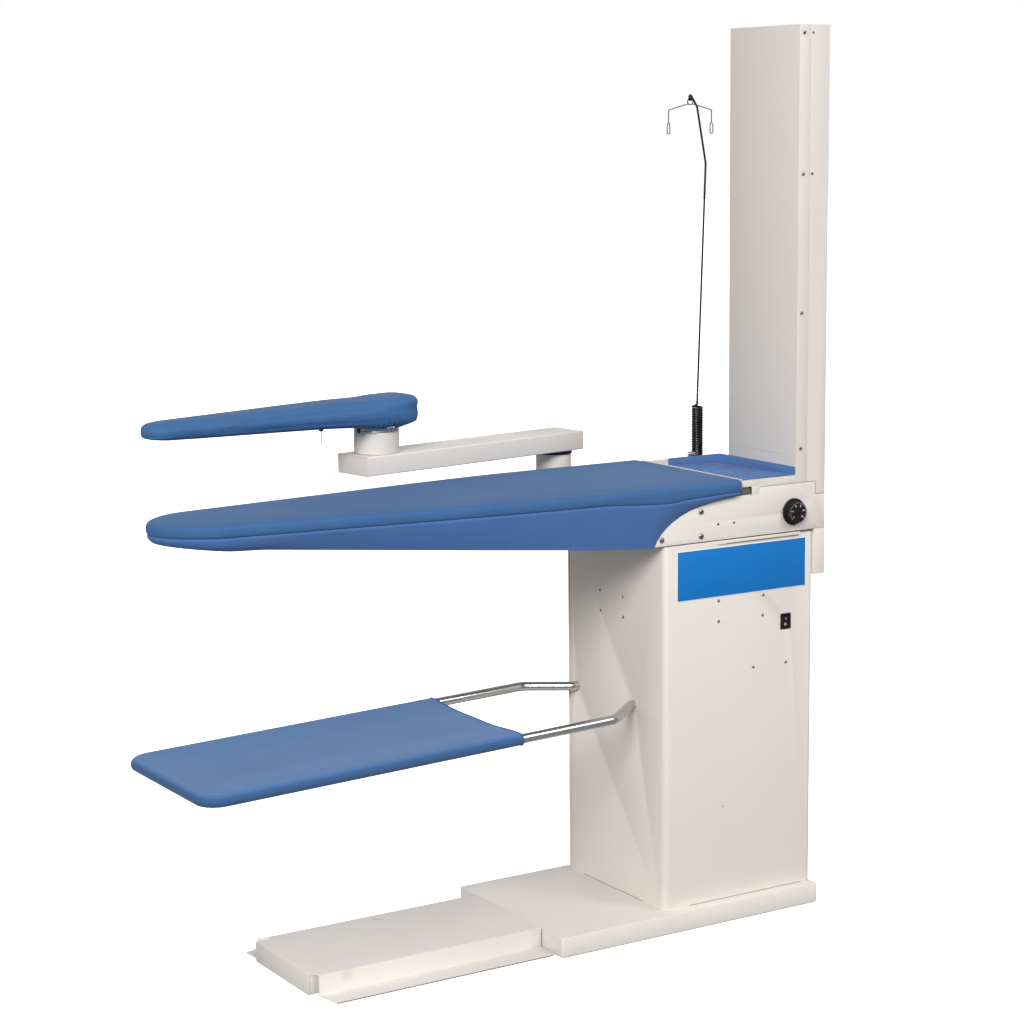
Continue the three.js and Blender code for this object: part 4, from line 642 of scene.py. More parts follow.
def rounded_route(corners, bends, steps=10):
    """A route through corners, with a round bend of its own radius at each inner corner."""
    route = [corners[0]]
    for before, corner, after, bend in zip(corners, corners[1:], corners[2:], bends):
        back = (before - corner).normalized()
        onward = (after - corner).normalized()
        half_turn = back.angle(onward) / 2
        if math.pi / 2 - half_turn < 0.002:
            route.append(corner)
            continue
        start = corner + back * bend / math.tan(half_turn)
        end = corner + onward * bend / math.tan(half_turn)
        centre = corner + (back + onward).normalized() * bend / math.sin(half_turn)
        from_centre = start - centre
        to_centre = end - centre
        turn = from_centre.angle(to_centre)
        for step in range(steps + 1):
            share = step / steps
            first = math.sin((1 - share) * turn) / math.sin(turn)
            second = math.sin(share * turn) / math.sin(turn)
            route.append(centre + from_centre * first + to_centre * second)
    route.append(corners[-1])
    return route


def loft(rings):
    """Points of rings of equal count, and the faces that join each ring to the next."""
    count = len(rings[0])
    faces = []
    for start in range(0, (len(rings) - 1) * count, count):
        for step in range(count):
            a, b = start + step, start + (step + 1) % count
            faces.append((a, b, b + count, a + count))
    return [point for ring in rings for point in ring], faces


# %% [markdown]
# Folded sheet has soft edges that catch the light. Each sheet part of the model is copied, its
# loose triangles are merged into whole faces, and a narrow bevel rounds every sharp edge. The
# copy replaces its node, so nothing changes in size.

# %% Sheet parts with soft edges
SHEET_PARTS = {
    "cabinet_shell": (cream_paint, 0.45), "rear_service_panel": (cream_paint, 0.3),
    "front_side_panel": (cream_paint, 0.4), "rear_side_panel": (cream_paint, 0.4),
    "head_end_panel": (cream_paint, 0.4), "shelf": (cream_paint, 0.5),
    "chimney_channel": (cream_paint, 0.35), "chimney_cover": (cream_paint, 0.35),
    "elbow_duct": (cream_paint, 0.35), "base_tray": (base_paint, 0.7),
    "pedal_plate": (base_paint, 0.6), "swing_arm": (cream_paint, 0.6),
    "arm_end_cap": (cream_paint, 0.4), "arm_post_cap": (cream_paint, 0.4),
    "iron_tray": (silicone, 0.9), "switch_housing": (black_plastic, 0.3),
    "switch_rocker": (black_plastic, 0.4), "floor_plate": (zinc, 0.6),
    "cord_gland": (black_plastic, 0.4), "rod_foot": (black_steel, 0.5),
    "swivel_stop": (black_steel, 0.3), "vacuum_chamber": (chamber_paint, 0.4),
}
BODY_OF = {
    node: body for body, nodes in frame["record"]["behaviour"]["bodies"].items() for node in nodes
}


def soften(node, material, bevel_mm):
    piece = new_object(node + "_finish", frame["nodes"][node].data.copy())
    pick_only(piece)
    bpy.ops.object.mode_set(mode="EDIT")
    bpy.ops.mesh.select_all(action="SELECT")
    bpy.ops.mesh.remove_doubles(threshold=0.00002)
    bpy.ops.mesh.dissolve_limited(angle_limit=math.radians(0.6))
    bpy.ops.object.mode_set(mode="OBJECT")
    apply_modifier(
        piece, "BEVEL", width=bevel_mm * MM, segments=2, limit_method="ANGLE",
        angle_limit=math.radians(38), use_clamp_overlap=True,
    )
    smooth_by_angle(piece, 36)
    return settle(piece, node + "_finish", material, BODY_OF[node], node)


for node_name, (node_finish, node_bevel) in SHEET_PARTS.items():
    soften(node_name, node_finish, node_bevel)
print("softened", len(SHEET_PARTS), "sheet parts")

# %% [markdown]
# The inner parts keep the model's own solids. They only get their finish.

# %% Inner parts
INNER_PARTS = {
    "pedal_bracket": zinc, "pedal_pin": zinc, "pedal_spring": zinc, "pedal_switch": black_plastic,
    "blower_scroll": motor_enamel, "blower_shelf": zinc, "exhaust_duct": motor_enamel,
    "blower_motor": motor_enamel, "blower_impeller": aluminium, "blower_shaft": zinc,
    "suction_sleeve": rubber, "heated_plate": aluminium, "heating_element": black_steel,
    "felt_pad": felt, "control_box": chamber_paint, "thermostat": black_plastic,
    "knob_spindle": zinc, "front_catcher_socket": zinc, "rear_catcher_socket": zinc,
    "post_bush": black_plastic, "sleeve_chamber": chamber_paint, "sleeve_plate": aluminium,
}
for node_name, node_finish in INNER_PARTS.items():
    slots = frame["nodes"][node_name].data.materials
    slots.clear()
    slots.append(node_finish)
print("finished", len(INNER_PARTS), "inner parts")

# %% [markdown]
# The catcher hangs in two sockets and droops a little, so its frame and its cloth are made
# straight out from the cabinet and then turned about the sockets' middle.

# %% Catcher frame
CATCHER_ROOT = mm(-60, 38, 457)
CATCHER_DROOP = math.radians(2.05)
CATCHER_TUBE = 10 * MM
CATCHER_HALF = 177 * MM
CATCHER_ENTRY = 105 * MM
CATCHER_REACH = 1008 * MM
CATCHER_STUB = 92 * MM
CATCHER_SPLAY = 94 * MM
CATCHER_EDGE = 3 * MM
to_sockets = Matrix.Translation(CATCHER_ROOT) @ Matrix.Rotation(-CATCHER_DROOP, 4, "Y")


def add_catcher_frame():
    far = -CATCHER_REACH + CATCHER_EDGE + CATCHER_TUBE
    side = [
        Vector((CATCHER_STUB, -CATCHER_ENTRY, 0)), Vector((-9 * MM, -CATCHER_ENTRY, 0)),
        Vector((-CATCHER_SPLAY, -CATCHER_HALF, 0)), Vector((far, -CATCHER_HALF, 0)),
    ]
    mirrored = [Vector((point.x, -point.y, point.z)) for point in reversed(side)]
    bends = [value * MM for value in (18, 36, 42, 42, 36, 18)]
    tube = add_wire(
        "catcher_tube", rounded_route(side + mirrored, bends, 12), CATCHER_TUBE,
        chrome, "catcher", "catcher_frame", sides=12, carried=to_sockets,
    )
    print("catcher tube", len(tube.data.polygons), "faces")


add_catcher_frame()

# %% [markdown]
# The catcher's cloth is a flat bag pulled over the frame. It wraps the tubes in a half round,
# sags between them, and its mouth is drawn into a hollow curve with a rolled hem. Its height at
# a point depends only on how far that point lies inside the bag's edge, so the wrap stays round
# in the corners too.

# %% Catcher cloth
BAG_START = -316 * MM
BAG_CLOTH = 1.1 * MM
BAG_CORNER = 50 * MM
BAG_HALF = CATCHER_HALF + CATCHER_TUBE + CATCHER_EDGE
BAG_WRAP = CATCHER_TUBE + 1.9 * MM
BAG_SAG = 4.5 * MM
BAG_SAG_RUN = 120 * MM
BAG_BELLY = 2.0 * MM
BAG_RIPPLE = 1.3 * MM
BAG_PUCKER = 2.6 * MM
BAG_PUCKER_START = 6 * MM
BAG_PUCKER_RUN = 22 * MM
BAG_MOUTH_HOLLOW = 6 * MM
BAG_MOUTH_RUN = 150 * MM
BAG_NEAR_PULL = 5 * MM
BAG_HEM = 1.5 * MM
BAG_STATIONS = 150
BAG_ACROSS = 90


def bag_half_width(x):
    into_corner = max(0.0, BAG_CORNER - CATCHER_REACH - x)
    return BAG_HALF - BAG_CORNER + math.sqrt(max(BAG_CORNER ** 2 - into_corner ** 2, 0.0))


def inside_bag(x, y):
    """How far a point lies inside the bag's edge, the mouth left out."""
    side = abs(y) - (BAG_HALF - BAG_CORNER)
    end = BAG_CORNER - CATCHER_REACH - x
    outside = math.hypot(max(side, 0.0), max(end, 0.0))
    return BAG_CORNER - outside - min(max(side, end), 0.0)


def bag_level(x, y, side):
    """Height of the top (side 1) or bottom (side -1) layer."""
    past = inside_bag(x, y) - BAG_WRAP
    if past < 0:
        return side * math.sqrt(max(BAG_WRAP ** 2 - past ** 2, 0.0))
    slack = eased(min(1.0, past / BAG_SAG_RUN))
    ripple = noise.noise(Vector((x * 7, y * 9, side * 2.3))) * BAG_RIPPLE * slack
    near_edge = math.exp(-past / BAG_PUCKER_RUN) * (1 - math.exp(-past / BAG_PUCKER_START))
    pucker = noise.noise(Vector((x * 24, side * 5.0, 1.0 if y > 0 else 2.0))) * BAG_PUCKER
    pucker *= near_edge
    sag = BAG_SAG if side > 0 else BAG_SAG * 0.4 + BAG_BELLY
    return side * BAG_WRAP - sag * slack + ripple + pucker


def bag_place(x, y):
    """Draws the mouth into a hollow curve that fades along the bag."""
    fade = max(0.0, 1 - (BAG_START - x) / BAG_MOUTH_RUN) ** 2
    hollow = BAG_MOUTH_HOLLOW * (1 - (y / BAG_HALF) ** 2) ** 1.6
    pull = BAG_NEAR_PULL * max(0.0, -y / BAG_HALF)
    return x - (hollow + pull) * fade


def bag_loop(x):
    half = bag_half_width(x)
    loop = []
    for side in (1, -1):
        for step in range(BAG_ACROSS):
            across = side * -math.cos(math.pi * step / BAG_ACROSS)
            y = across * half
            loop.append((bag_place(x, y), y, bag_level(x, y, side)))
    return loop


def add_catcher_cloth():
    length = CATCHER_REACH + BAG_START
    rings = []
    for station in range(BAG_STATIONS + 1):
        along = math.sin(station / BAG_STATIONS * TURN / 4) ** 1.15
        rings.append(bag_loop(BAG_START - length * along))
    points, faces = loft(rings)
    count = 2 * BAG_ACROSS
    last = BAG_STATIONS * count
    for step in range(1, BAG_ACROSS):
        a, b = last + step, last + step + 1
        c, d = last + count - step, last + (count - step - 1)
        faces.append((a, b, d, c) if step < BAG_ACROSS - 1 else (a, b, c))
    faces.append((last, last + 1, last + count - 1))
    bag = mesh_piece("catcher_cloth", points, faces)
    face_outward(bag)
    apply_modifier(bag, "SOLIDIFY", thickness=BAG_CLOTH, offset=-1)
    smooth_by_angle(bag, 60)
    settle(bag, "catcher_cloth", catcher_cloth, "catcher", "catcher_cover", carried=to_sockets)
    mouth = [Vector(place) for place in bag_loop(BAG_START)[::2]]
    add_wire(
        "catcher_hem", mouth, BAG_HEM, hem_cloth, "catcher", "catcher_cover",
        closed=True, sides=2, carried=to_sockets,
    )


add_catcher_cloth()

# %% [markdown]
# The main board's plan is a straight rear, a long taper and a blunt nose. These curves are the
# model's own, so that cloth and steel agree. Each point comes with its outward direction, and
# an inset moves it inward.

# %% Board plan
BOARD_REAR = 132 * MM
BOARD_LENGTH = 1227 * MM
BOARD_HALF = 195 * MM
BOARD_STRAIGHT = 332 * MM
BOARD_CORNER = 22 * MM
SHOULDER_FROM_NOSE = 112 * MM
SHOULDER_HALF = 108 * MM
UNDERSIDE_START = -80 * MM
UNDERSIDE_SLOPE = 0.0856


def bezier(p0, p1, p2, p3, share):
    rest = 1 - share
    place = (
        p0 * rest ** 3 + p1 * 3 * rest ** 2 * share + p2 * 3 * rest * share ** 2 + p3 * share ** 3
    )
    along = (p1 - p0) * rest ** 2 + (p2 - p1) * 2 * rest * share + (p3 - p2) * share ** 2
    return place, along.normalized()


def rear_and_corner(rear, half, corner, rear_steps, corner_steps):
    """Pairs along half of the straight rear, and round its corner."""
    pairs = []
    for step in range(rear_steps):
        pairs.append((Vector((rear, (half - corner) * step / rear_steps)), Vector((1, 0))))
    centre = Vector((rear - corner, half - corner))
    for step in range(corner_steps + 1):
        outward = on_circle(step / corner_steps * TURN / 4)
        pairs.append((centre + outward * corner, outward))
    return pairs


def curve_pairs(corners, steps):
    pairs = []
    for step in range(steps):
        place, along = bezier(*corners, step / steps)
        pairs.append((place, Vector((along.y, -along.x))))
    return pairs


def board_half_plan(spacing):
    """Pairs of place and outward direction, from the rear's middle by the far side to the nose."""
    nose_x = BOARD_REAR - BOARD_LENGTH
    taper_x = BOARD_REAR - BOARD_STRAIGHT
    shoulder_x = nose_x + SHOULDER_FROM_NOSE
    run = taper_x - shoulder_x
    drop = BOARD_HALF - SHOULDER_HALF
    rear_steps = int((BOARD_HALF - BOARD_CORNER) / spacing)
    pairs = rear_and_corner(BOARD_REAR, BOARD_HALF, BOARD_CORNER, rear_steps, 8)
    steps = int((BOARD_STRAIGHT - BOARD_CORNER) / spacing)
    for step in range(1, steps):
        x = BOARD_REAR - BOARD_CORNER - (BOARD_STRAIGHT - BOARD_CORNER) * step / steps
        pairs.append((Vector((x, BOARD_HALF)), Vector((0, 1))))
    taper = [
        Vector((taper_x, BOARD_HALF)), Vector((taper_x - run * 0.17, BOARD_HALF)),
        Vector((taper_x - run * 0.64, BOARD_HALF - drop * 0.6)),
        Vector((shoulder_x, SHOULDER_HALF)),
    ]
    nose = [
        Vector((shoulder_x, SHOULDER_HALF)),
        Vector((shoulder_x - SHOULDER_FROM_NOSE * 0.45, SHOULDER_HALF * 0.935)),
        Vector((nose_x, SHOULDER_HALF * 0.42)), Vector((nose_x, 0)),
    ]
    return pairs + curve_pairs(taper, int(run / spacing)) + curve_pairs(nose, int(0.17 / spacing))


def whole_plan(half_pairs, nose_x):
    """The near side mirrored from the far side, once round with no point twice."""
    far = half_pairs + [(Vector((nose_x, 0)), Vector((-1, 0)))]
    near = [
        (Vector((place.x, -place.y)), Vector((outward.x, -outward.y)))
        for place, outward in reversed(far[1:-1])
    ]
    return far + near


def inset_ring(plan, inset, level):
    """A ring of points set in from the plan; level gives each point's height."""
    return [
        Vector((place.x - outward.x * inset, place.y - outward.y * inset, level(place.x)))
        for place, outward in plan
    ]


PLAN_SPACING = 7 * MM
board_plan = whole_plan(board_half_plan(PLAN_SPACING), BOARD_REAR - BOARD_LENGTH)
print("board plan", len(board_plan), "points")

# %% [markdown]
# A padded cover swells as far as its cloth lets it. A cloth simulation with air pressure and no
# gravity fills the pad. Points of the group "held" stay where the seam and the roll keep them,
# and how far any other point may move is capped, so the pad keeps its size.

# %% Padding by simulation
CLOTH_FRAMES = 16
CLOTH_SETTINGS = {
    "quality": 4, "mass": 0.15, "tension_stiffness": 18, "compression_stiffness": 18,
    "shear_stiffness": 6, "bending_stiffness": 0.6, "use_pressure": True,
}


def puff(piece, pressure, cap, held=None):
    before = [vertex.co.copy() for vertex in piece.data.vertices]
    pick_only(piece)
    modifier = piece.modifiers.new("cloth", "CLOTH")
    settings = modifier.settings
    for key, value in CLOTH_SETTINGS.items():
        setattr(settings, key, value)
    settings.uniform_pressure_force = pressure
    settings.effector_weights.gravity = 0
    if held:
        group = piece.vertex_groups.new(name="held")
        fixed = [vertex.index for vertex in piece.data.vertices if held(vertex.co)]
        group.add(fixed, 1.0, "REPLACE")
        settings.vertex_group_mass = "held"
    modifier.collision_settings.use_collision = False
    scene = bpy.context.scene
    for number in range(1, CLOTH_FRAMES + 1):
        scene.frame_set(number)
    bpy.ops.object.modifier_apply(modifier="cloth")
    scene.frame_set(1)
    farthest = 0.0
    for vertex, start in zip(piece.data.vertices, before):
        move = vertex.co - start
        farthest = max(farthest, move.length)
        if move.length > cap:
            vertex.co = start + move.normalized() * cap
    print(piece.name, "moved", round(farthest / MM, 1), "mm at most, capped at", round(cap / MM, 1))


# %% [markdown]
# The top of the cover is foam under cloth over the felt: flat in the middle, with a crisp roll
# at the edge and drawn in underneath at the seam. Its edge is a list of insets and heights, and
# rows of points across the board fill its middle. On the operator's side the seam dips before
# the rear corner, where the cloth is pulled under the side panel.

# %% Cover top
COVER_PROFILE = [
    (7.6, 907.4), (7.6, 902.8), (6.4, 901.3), (4.6, 901.1), (2.6, 902.3), (1.0, 905.2),
    (0.3, 909.4), (0.4, 914.4), (1.2, 918.6), (3.0, 921.8), (6.5, 923.9), (13, 925.1), (22, 925.8),
]
COVER_FIXED_BELOW = 924.9 * MM
ROW_INSET = 22
CROWN_RISE = 0.7 * MM
CROWN_RUN = 46 * MM
SEAM_DIP = 9 * MM
DIP_START = -235 * MM
DIP_LOW = -52 * MM
DIP_END = -14 * MM


def seam_dip(place):
    """How far the seam hangs below its even height, on the operator's side only."""
    if place.y > -0.1 or place.x < DIP_START or place.x > BOARD_REAR:
        return 0.0
    if place.x < DIP_LOW:
        return SEAM_DIP * eased((place.x - DIP_START) / (DIP_LOW - DIP_START))
    if place.x < DIP_END:
        return SEAM_DIP * (1 - 0.45 * (place.x - DIP_LOW) / (DIP_END - DIP_LOW))
    return SEAM_DIP * 0.55 * (BOARD_REAR - place.x) / (BOARD_REAR - DIP_END)


def cover_ring(inset, height):
    follow = clamped((912 - height) / 8) if height < 907 or inset < 7 else 0
    return [
        Vector((place.x - outward.x * inset * MM, place.y - outward.y * inset * MM,
                height * MM - seam_dip(place) * follow))
        for place, outward in board_plan
    ]


def cover_rows(height):
    """Rows across the board inside the last ring, each with as many points as the rear edge."""
    rear_steps = int((BOARD_HALF - BOARD_CORNER) / PLAN_SPACING)
    ring = inset_ring(board_plan, ROW_INSET * MM, lambda x: height)
    sides = ring[rear_steps + 8:len(board_plan) // 2 + 1]
    rows = []
    for side in sides:
        row = []
        for step in range(-rear_steps, rear_steps + 1):
            y = side.y * step / rear_steps
            inside = min(side.y - abs(y), sides[0].x - side.x, CROWN_RUN) / CROWN_RUN
            row.append(Vector((side.x, y, height + CROWN_RISE * inside * (2 - inside))))
        rows.append(row)
    return rows


def add_cover_top():
    points, faces = loft([cover_ring(inset, height) for inset, height in COVER_PROFILE])
    faces.append(tuple(reversed(range(len(board_plan)))))
    rows = cover_rows(COVER_PROFILE[-1][1] * MM)
    across = len(rows[0])
    base = len(points)
    points.extend(point for row in rows for point in row)
    for row in range(len(rows) - 1):
        for step in range(across - 1):
            a = base + row * across + step
            faces.append((a, a + 1, a + across + 1, a + across))
    top = mesh_piece("board_cover_top", points, faces)
    face_outward(top)
    puff(top, 1.0, 0.7 * MM, lambda place: place.z < COVER_FIXED_BELOW)
    apply_modifier(top, "SUBSURF", levels=1, render_levels=1, use_limit_surface=False)
    pick_only(top)
    bpy.ops.object.shade_smooth()
    settle(top, "board_cover_top", cover_cloth, "stand", "board_cover")
    print("cover top", len(top.data.polygons), "faces")


add_cover_top()

# %% [markdown]
# The skirt hangs from the seam and is pulled round the vacuum chamber. It is one strip of cloth
# that falls in a full curve to its hem, with shallow upright creases.

# %% Cover skirt
SKIRT_STEPS = 26
SKIRT_TOP = 903 * MM
SKIRT_TOP_INSET = 1.4 * MM
SKIRT_INSET = 19.7 * MM
SEAM_GROOVE = 3.8 * MM
SEAM_GROOVE_HEIGHT = 3.0 * MM
SKIRT_CLOTH = 0.9 * MM
SKIRT_INNERMOST = 20.2 * MM
PANEL_TOE = -84 * MM
PANEL_LOW = 804.5 * MM
PANEL_HIGH = 890.5 * MM
HEM_LEVEL = 800.4 * MM
HEM_BEHIND_PANEL = 803.2 * MM
NOSE_FULL_FROM = -0.80
NOSE_FULL_RUN = 0.20
REAR_FULL_FROM = -0.03
REAR_FULL_RUN = 0.08
REAR_TUCK_INSET = 16.2 * MM
NOSE_HEM_DROP = 3.5 * MM
HEM_DROP_FROM = -0.91
HEM_DROP_RUN = 0.06


def panel_curve():
    """Points along the side panel's curved front edge, as X and height."""
    run = BOARD_REAR - PANEL_TOE
    rise = PANEL_HIGH - PANEL_LOW
    corners = [
        Vector((PANEL_TOE, PANEL_LOW)), Vector((PANEL_TOE + run * 0.083, PANEL_LOW + rise * 0.48)),
        Vector((PANEL_TOE + run * 0.39, PANEL_LOW + rise * 0.97)), Vector((BOARD_REAR, PANEL_HIGH)),
    ]
    return [bezier(*corners, step / 40)[0] for step in range(41)]


def hem_height(x):
    if x > PANEL_TOE:
        return HEM_BEHIND_PANEL
    drop = NOSE_HEM_DROP * clamped((HEM_DROP_FROM - x) / HEM_DROP_RUN)
    return HEM_LEVEL + max(0.0, UNDERSIDE_START - x) * UNDERSIDE_SLOPE - drop


def tuck_height(x, curve):
    """The height at which the skirt must lie close to the chamber: the panel's edge or the hem."""
    if x <= PANEL_TOE:
        return hem_height(x)
    for before, after in zip(curve, curve[1:]):
        if before.x <= x <= after.x:
            share = (x - before.x) / max(after.x - before.x, 1e-9)
            return before.y + (after.y - before.y) * share
    return PANEL_HIGH


def skirt_crease(place, share):
    wave = noise.noise(Vector((place.x * 11, place.y * 11, 1.7 + share * 0.6)))
    fine = noise.noise(Vector((place.x * 38, place.y * 38, 7.1 + share * 0.9)))
    calm = 1.0 if place.x < -0.14 else 0.1
    return (wave * 1.3 + fine * 0.4) * MM * math.sin(math.pi * min(share * 1.1, 1)) * calm


def skirt_ease(x, drawn):
    """How far the skirt has turned in; it stays full longest round the nose and at the rear."""
    full = clamped(max((NOSE_FULL_FROM - x) / NOSE_FULL_RUN, (x - REAR_FULL_FROM) / REAR_FULL_RUN))
    even = 0.45 * drawn + 0.55 * (1 - math.cos(drawn * TURN / 4))
    return even + (1 - math.sqrt(max(1 - drawn * drawn, 0.0)) - even) * full


def skirt_point(place, outward, share, curve):
    """A point of the skirt, at a share of the way from the seam down to the hem."""
    high = SKIRT_TOP - seam_dip(place)
    low = min(hem_height(place.x), high - 3 * MM)
    tuck = min(tuck_height(place.x, curve) + 0.8 * MM, high - 2.5 * MM)
    height = high + (low - high) * share
    drawn = min((high - height) / (high - tuck), 1.0)
    above_tuck = height > tuck - 0.5 * MM
    over_panel = clamped((place.x - REAR_FULL_FROM) / REAR_FULL_RUN) if above_tuck else 0.0
    innermost = SKIRT_INSET + (REAR_TUCK_INSET - SKIRT_INSET) * over_panel
    inset = SKIRT_TOP_INSET + (innermost - SKIRT_TOP_INSET) * skirt_ease(place.x, drawn)
    inset += SEAM_GROOVE * math.exp(-((high - height) / SEAM_GROOVE_HEIGHT) ** 2)
    inset = clamped(inset - skirt_crease(place, share), SKIRT_TOP_INSET, SKIRT_INNERMOST)
    return place.x - outward.x * inset, place.y - outward.y * inset, height


def add_cover_skirt():
    curve = panel_curve()
    rings = []
    for step in range(SKIRT_STEPS + 1):
        share = (step / SKIRT_STEPS) ** 1.2
        rings.append([skirt_point(place, outward, share, curve) for place, outward in board_plan])
    points, faces = loft(rings)
    skirt = mesh_piece("board_cover_skirt", points, [tuple(reversed(face)) for face in faces])
    apply_modifier(skirt, "SOLIDIFY", thickness=SKIRT_CLOTH, offset=-1)
    face_outward(skirt)
    smooth_by_angle(skirt, 60)
    # The skirt's finish carries painted bounce light from the floor.
    settle(skirt, "board_cover_skirt", skirt_cloth_painted_bounce, "stand", "board_cover")


add_cover_skirt()

# %% [markdown]
# The sleeve board stands on the arm's collar. Its pieces are made in the board's own place,
# nose along -X, and then carried to the collar by one turn and one move.

# %% Sleeve board frame
POST_PLACE = mm(-40, 262, 0)
ARM_YAW = math.radians(9.85)
ARM_REACH = 484.4 * MM
SLEEVE_YAW = math.radians(-5.55)
SLEEVE_NOSE = 524 * MM
SLEEVE_REAR = 86 * MM
SLEEVE_HALF_REAR = 65 * MM
SLEEVE_HALF_NOSE = 42 * MM
SLEEVE_SHOULDER = 34 * MM
SLEEVE_REAR_CORNER = 54 * MM
NECK_RADIUS = 46.1 * MM

collar_place = POST_PLACE + Matrix.Rotation(ARM_YAW, 3, "Z") @ Vector((-ARM_REACH, 0, 0))
to_sleeve = Matrix.Translation(collar_place) @ Matrix.Rotation(ARM_YAW + SLEEVE_YAW, 4, "Z")
to_arm = Matrix.Translation(POST_PLACE) @ Matrix.Rotation(ARM_YAW, 4, "Z")


def sleeve_half_plan(spacing):
    corner = SLEEVE_REAR_CORNER
    pairs = rear_and_corner(SLEEVE_REAR, SLEEVE_HALF_REAR, corner, 4, 12)
    start = Vector((SLEEVE_REAR - corner, SLEEVE_HALF_REAR))
    end = Vector((-SLEEVE_NOSE + SLEEVE_SHOULDER, SLEEVE_HALF_NOSE))
    along = (end - start).normalized()
    steps = int((end - start).length / spacing)
    for step in range(1, steps):
        pairs.append((start.lerp(end, step / steps), Vector((along.y, -along.x))))
    nose = [
        end, Vector((-SLEEVE_NOSE + SLEEVE_SHOULDER * 0.45, SLEEVE_HALF_NOSE * 0.97)),
        Vector((-SLEEVE_NOSE, SLEEVE_HALF_NOSE * 0.6)), Vector((-SLEEVE_NOSE, 0)),
    ]
    return pairs + curve_pairs(nose, 10)


sleeve_plan = whole_plan(sleeve_half_plan(6 * MM), -SLEEVE_NOSE)

# %% [markdown]
# The sleeve board's cover is a padded sock. The underside rises to the nose and the top falls
# towards it, so the nose is thin. The mouth is gathered on an elastic round the steel neck,
# which leaves short deep folds that fade outward.

# %% Sleeve cover
SLEEVE_LOW = (1053.6, 1059)
SLEEVE_SEAM = (1094, 1079)
SLEEVE_PROFILE = [
    (24, "low", 1.0), (11, "low", 0.6), (4.2, "low", 2.4), (1.3, "low", 7.0),
    (0.8, "seam", -8.5), (1.8, "seam", -1.0), (5.2, "seam", 4.6), (11, "seam", 8.2),
    (22, "seam", 10.6), (34, "seam", 11.6),
]
SLEEVE_VOXEL = 3.6 * MM
GATHERS = 34
PLEAT_DEPTH = 7 * MM
PLEAT_RUN = 19 * MM
PLEAT_RISE = 9 * MM
LONG_FOLD = 3.6 * MM
FINE_FOLD = 0.8 * MM
MOUTH_SAG = 10 * MM


def sleeve_level(name, lift):
    at_pivot, at_nose = SLEEVE_LOW if name == "low" else SLEEVE_SEAM

    def level(x):
        share = min(-x / SLEEVE_NOSE, 1)
        return (at_pivot + (at_nose - at_pivot) * share + lift) * MM

    return level


def crease_sleeve(piece):
    """Gathers the cloth round the neck into pleats and lays long soft folds along its sides."""
    low = sleeve_level("low", 0)
    seam = sleeve_level("seam", 0)
    mesh = piece.data
    normals = [vertex.normal.copy() for vertex in mesh.vertices]
    for vertex, normal in zip(mesh.vertices, normals):
        x, y, z = vertex.co
        away = max(0.0, math.hypot(x, y) - NECK_RADIUS)
        above = max(0.0, z - low(x) - 1 * MM)
        angle = math.atan2(y, x)
        wander = noise.noise(Vector((math.cos(angle) * 2.4, math.sin(angle) * 2.4, 0.5))) * 6
        pleat = max(0.0, math.cos(GATHERS * angle + wander)) ** 3
        uneven = 0.7 + 0.5 * noise.noise(Vector((angle * 3, 2.0, 0.0)))
        fade = math.exp(-away / PLEAT_RUN - (above / PLEAT_RISE) ** 2) * uneven
        on_side = 1 - min(abs(normal.z), 1) ** 2
        share = (z - low(x)) / max(seam(x) - low(x), 1e-6)
        long_fold = noise.noise(Vector((x * 5.5, share * 3.2 + x * 2.0, 3.0 if y > 0 else 8.0)))
        fine_fold = noise.noise(Vector((x * 16, share * 5.0 - x * 5.0, 6.0 if y > 0 else 1.0)))
        fold = (long_fold * LONG_FOLD + fine_fold * FINE_FOLD) * on_side
        vertex.co -= normal * (PLEAT_DEPTH * pleat * fade - min(fold, 0.4 * MM))
        reach = (22 + 16 * clamped(-x / (40 * MM))) * MM
        vertex.co.z -= MOUTH_SAG * math.exp(-(away + above) / reach)


def add_sleeve_cover():
    points, faces = loft([
        inset_ring(sleeve_plan, inset * MM, sleeve_level(name, lift))
        for inset, name, lift in SLEEVE_PROFILE
    ])
    count = len(sleeve_plan)
    faces.append(tuple(reversed(range(count))))
    faces.append(tuple(range(len(points) - count, len(points))))
    cover = mesh_piece("sleeve_cover_cloth", points, faces)
    face_outward(cover)
    apply_modifier(cover, "REMESH", mode="VOXEL", voxel_size=SLEEVE_VOXEL)
    puff(cover, 1.6, 1.6 * MM)
    apply_modifier(cover, "SMOOTH", factor=0.5, iterations=2)
    cut_away(cover, cylinder(96, NECK_RADIUS, 0.03, (0, 0, 1.0548)))
    apply_modifier(cover, "SUBSURF", levels=1, render_levels=1)
    crease_sleeve(cover)
    pick_only(cover)
    bpy.ops.object.shade_smooth()
    settle(
        cover, "sleeve_cover_cloth", cover_cloth, "sleeve_board", "sleeve_cover", carried=to_sleeve,
    )
    print("sleeve cover", len(cover.data.polygons), "faces")


add_sleeve_cover()

# %% [markdown]
# The drawstring of the cover ends in a small sprung toggle, with the string's tail below it.

# %% Drawstring toggle


def add_toggle():
    place = mm(-151, -34, 1052)
    bpy.ops.mesh.primitive_uv_sphere_add(
        segments=24, ring_count=12, radius=4.2 * MM, location=place,
    )
    ball = bpy.context.object
    ball.scale = (1.2, 0.9, 0.62)
    freeze(ball)
    bpy.ops.object.shade_smooth()
    settle(ball, "drawstring_toggle", black_plastic, "sleeve_board", carried=to_sleeve)
    tail = [place + mm(0, 0, 7), place, place + mm(0.4, 0, -9), place + mm(0, 0, -27)]
    add_wire(
        "drawstring_tail", rounded_route(tail, [2 * MM, 2 * MM], 4), 0.85 * MM,
        black_steel, "sleeve_board", sides=2, carried=to_sleeve,
    )


add_toggle()

# %% [markdown]
# Round pieces are turned: a short profile is spun about an axis. The collar, the neck and its
# band are such rings, each with small edge rounds that shine.

# %% Turned rings


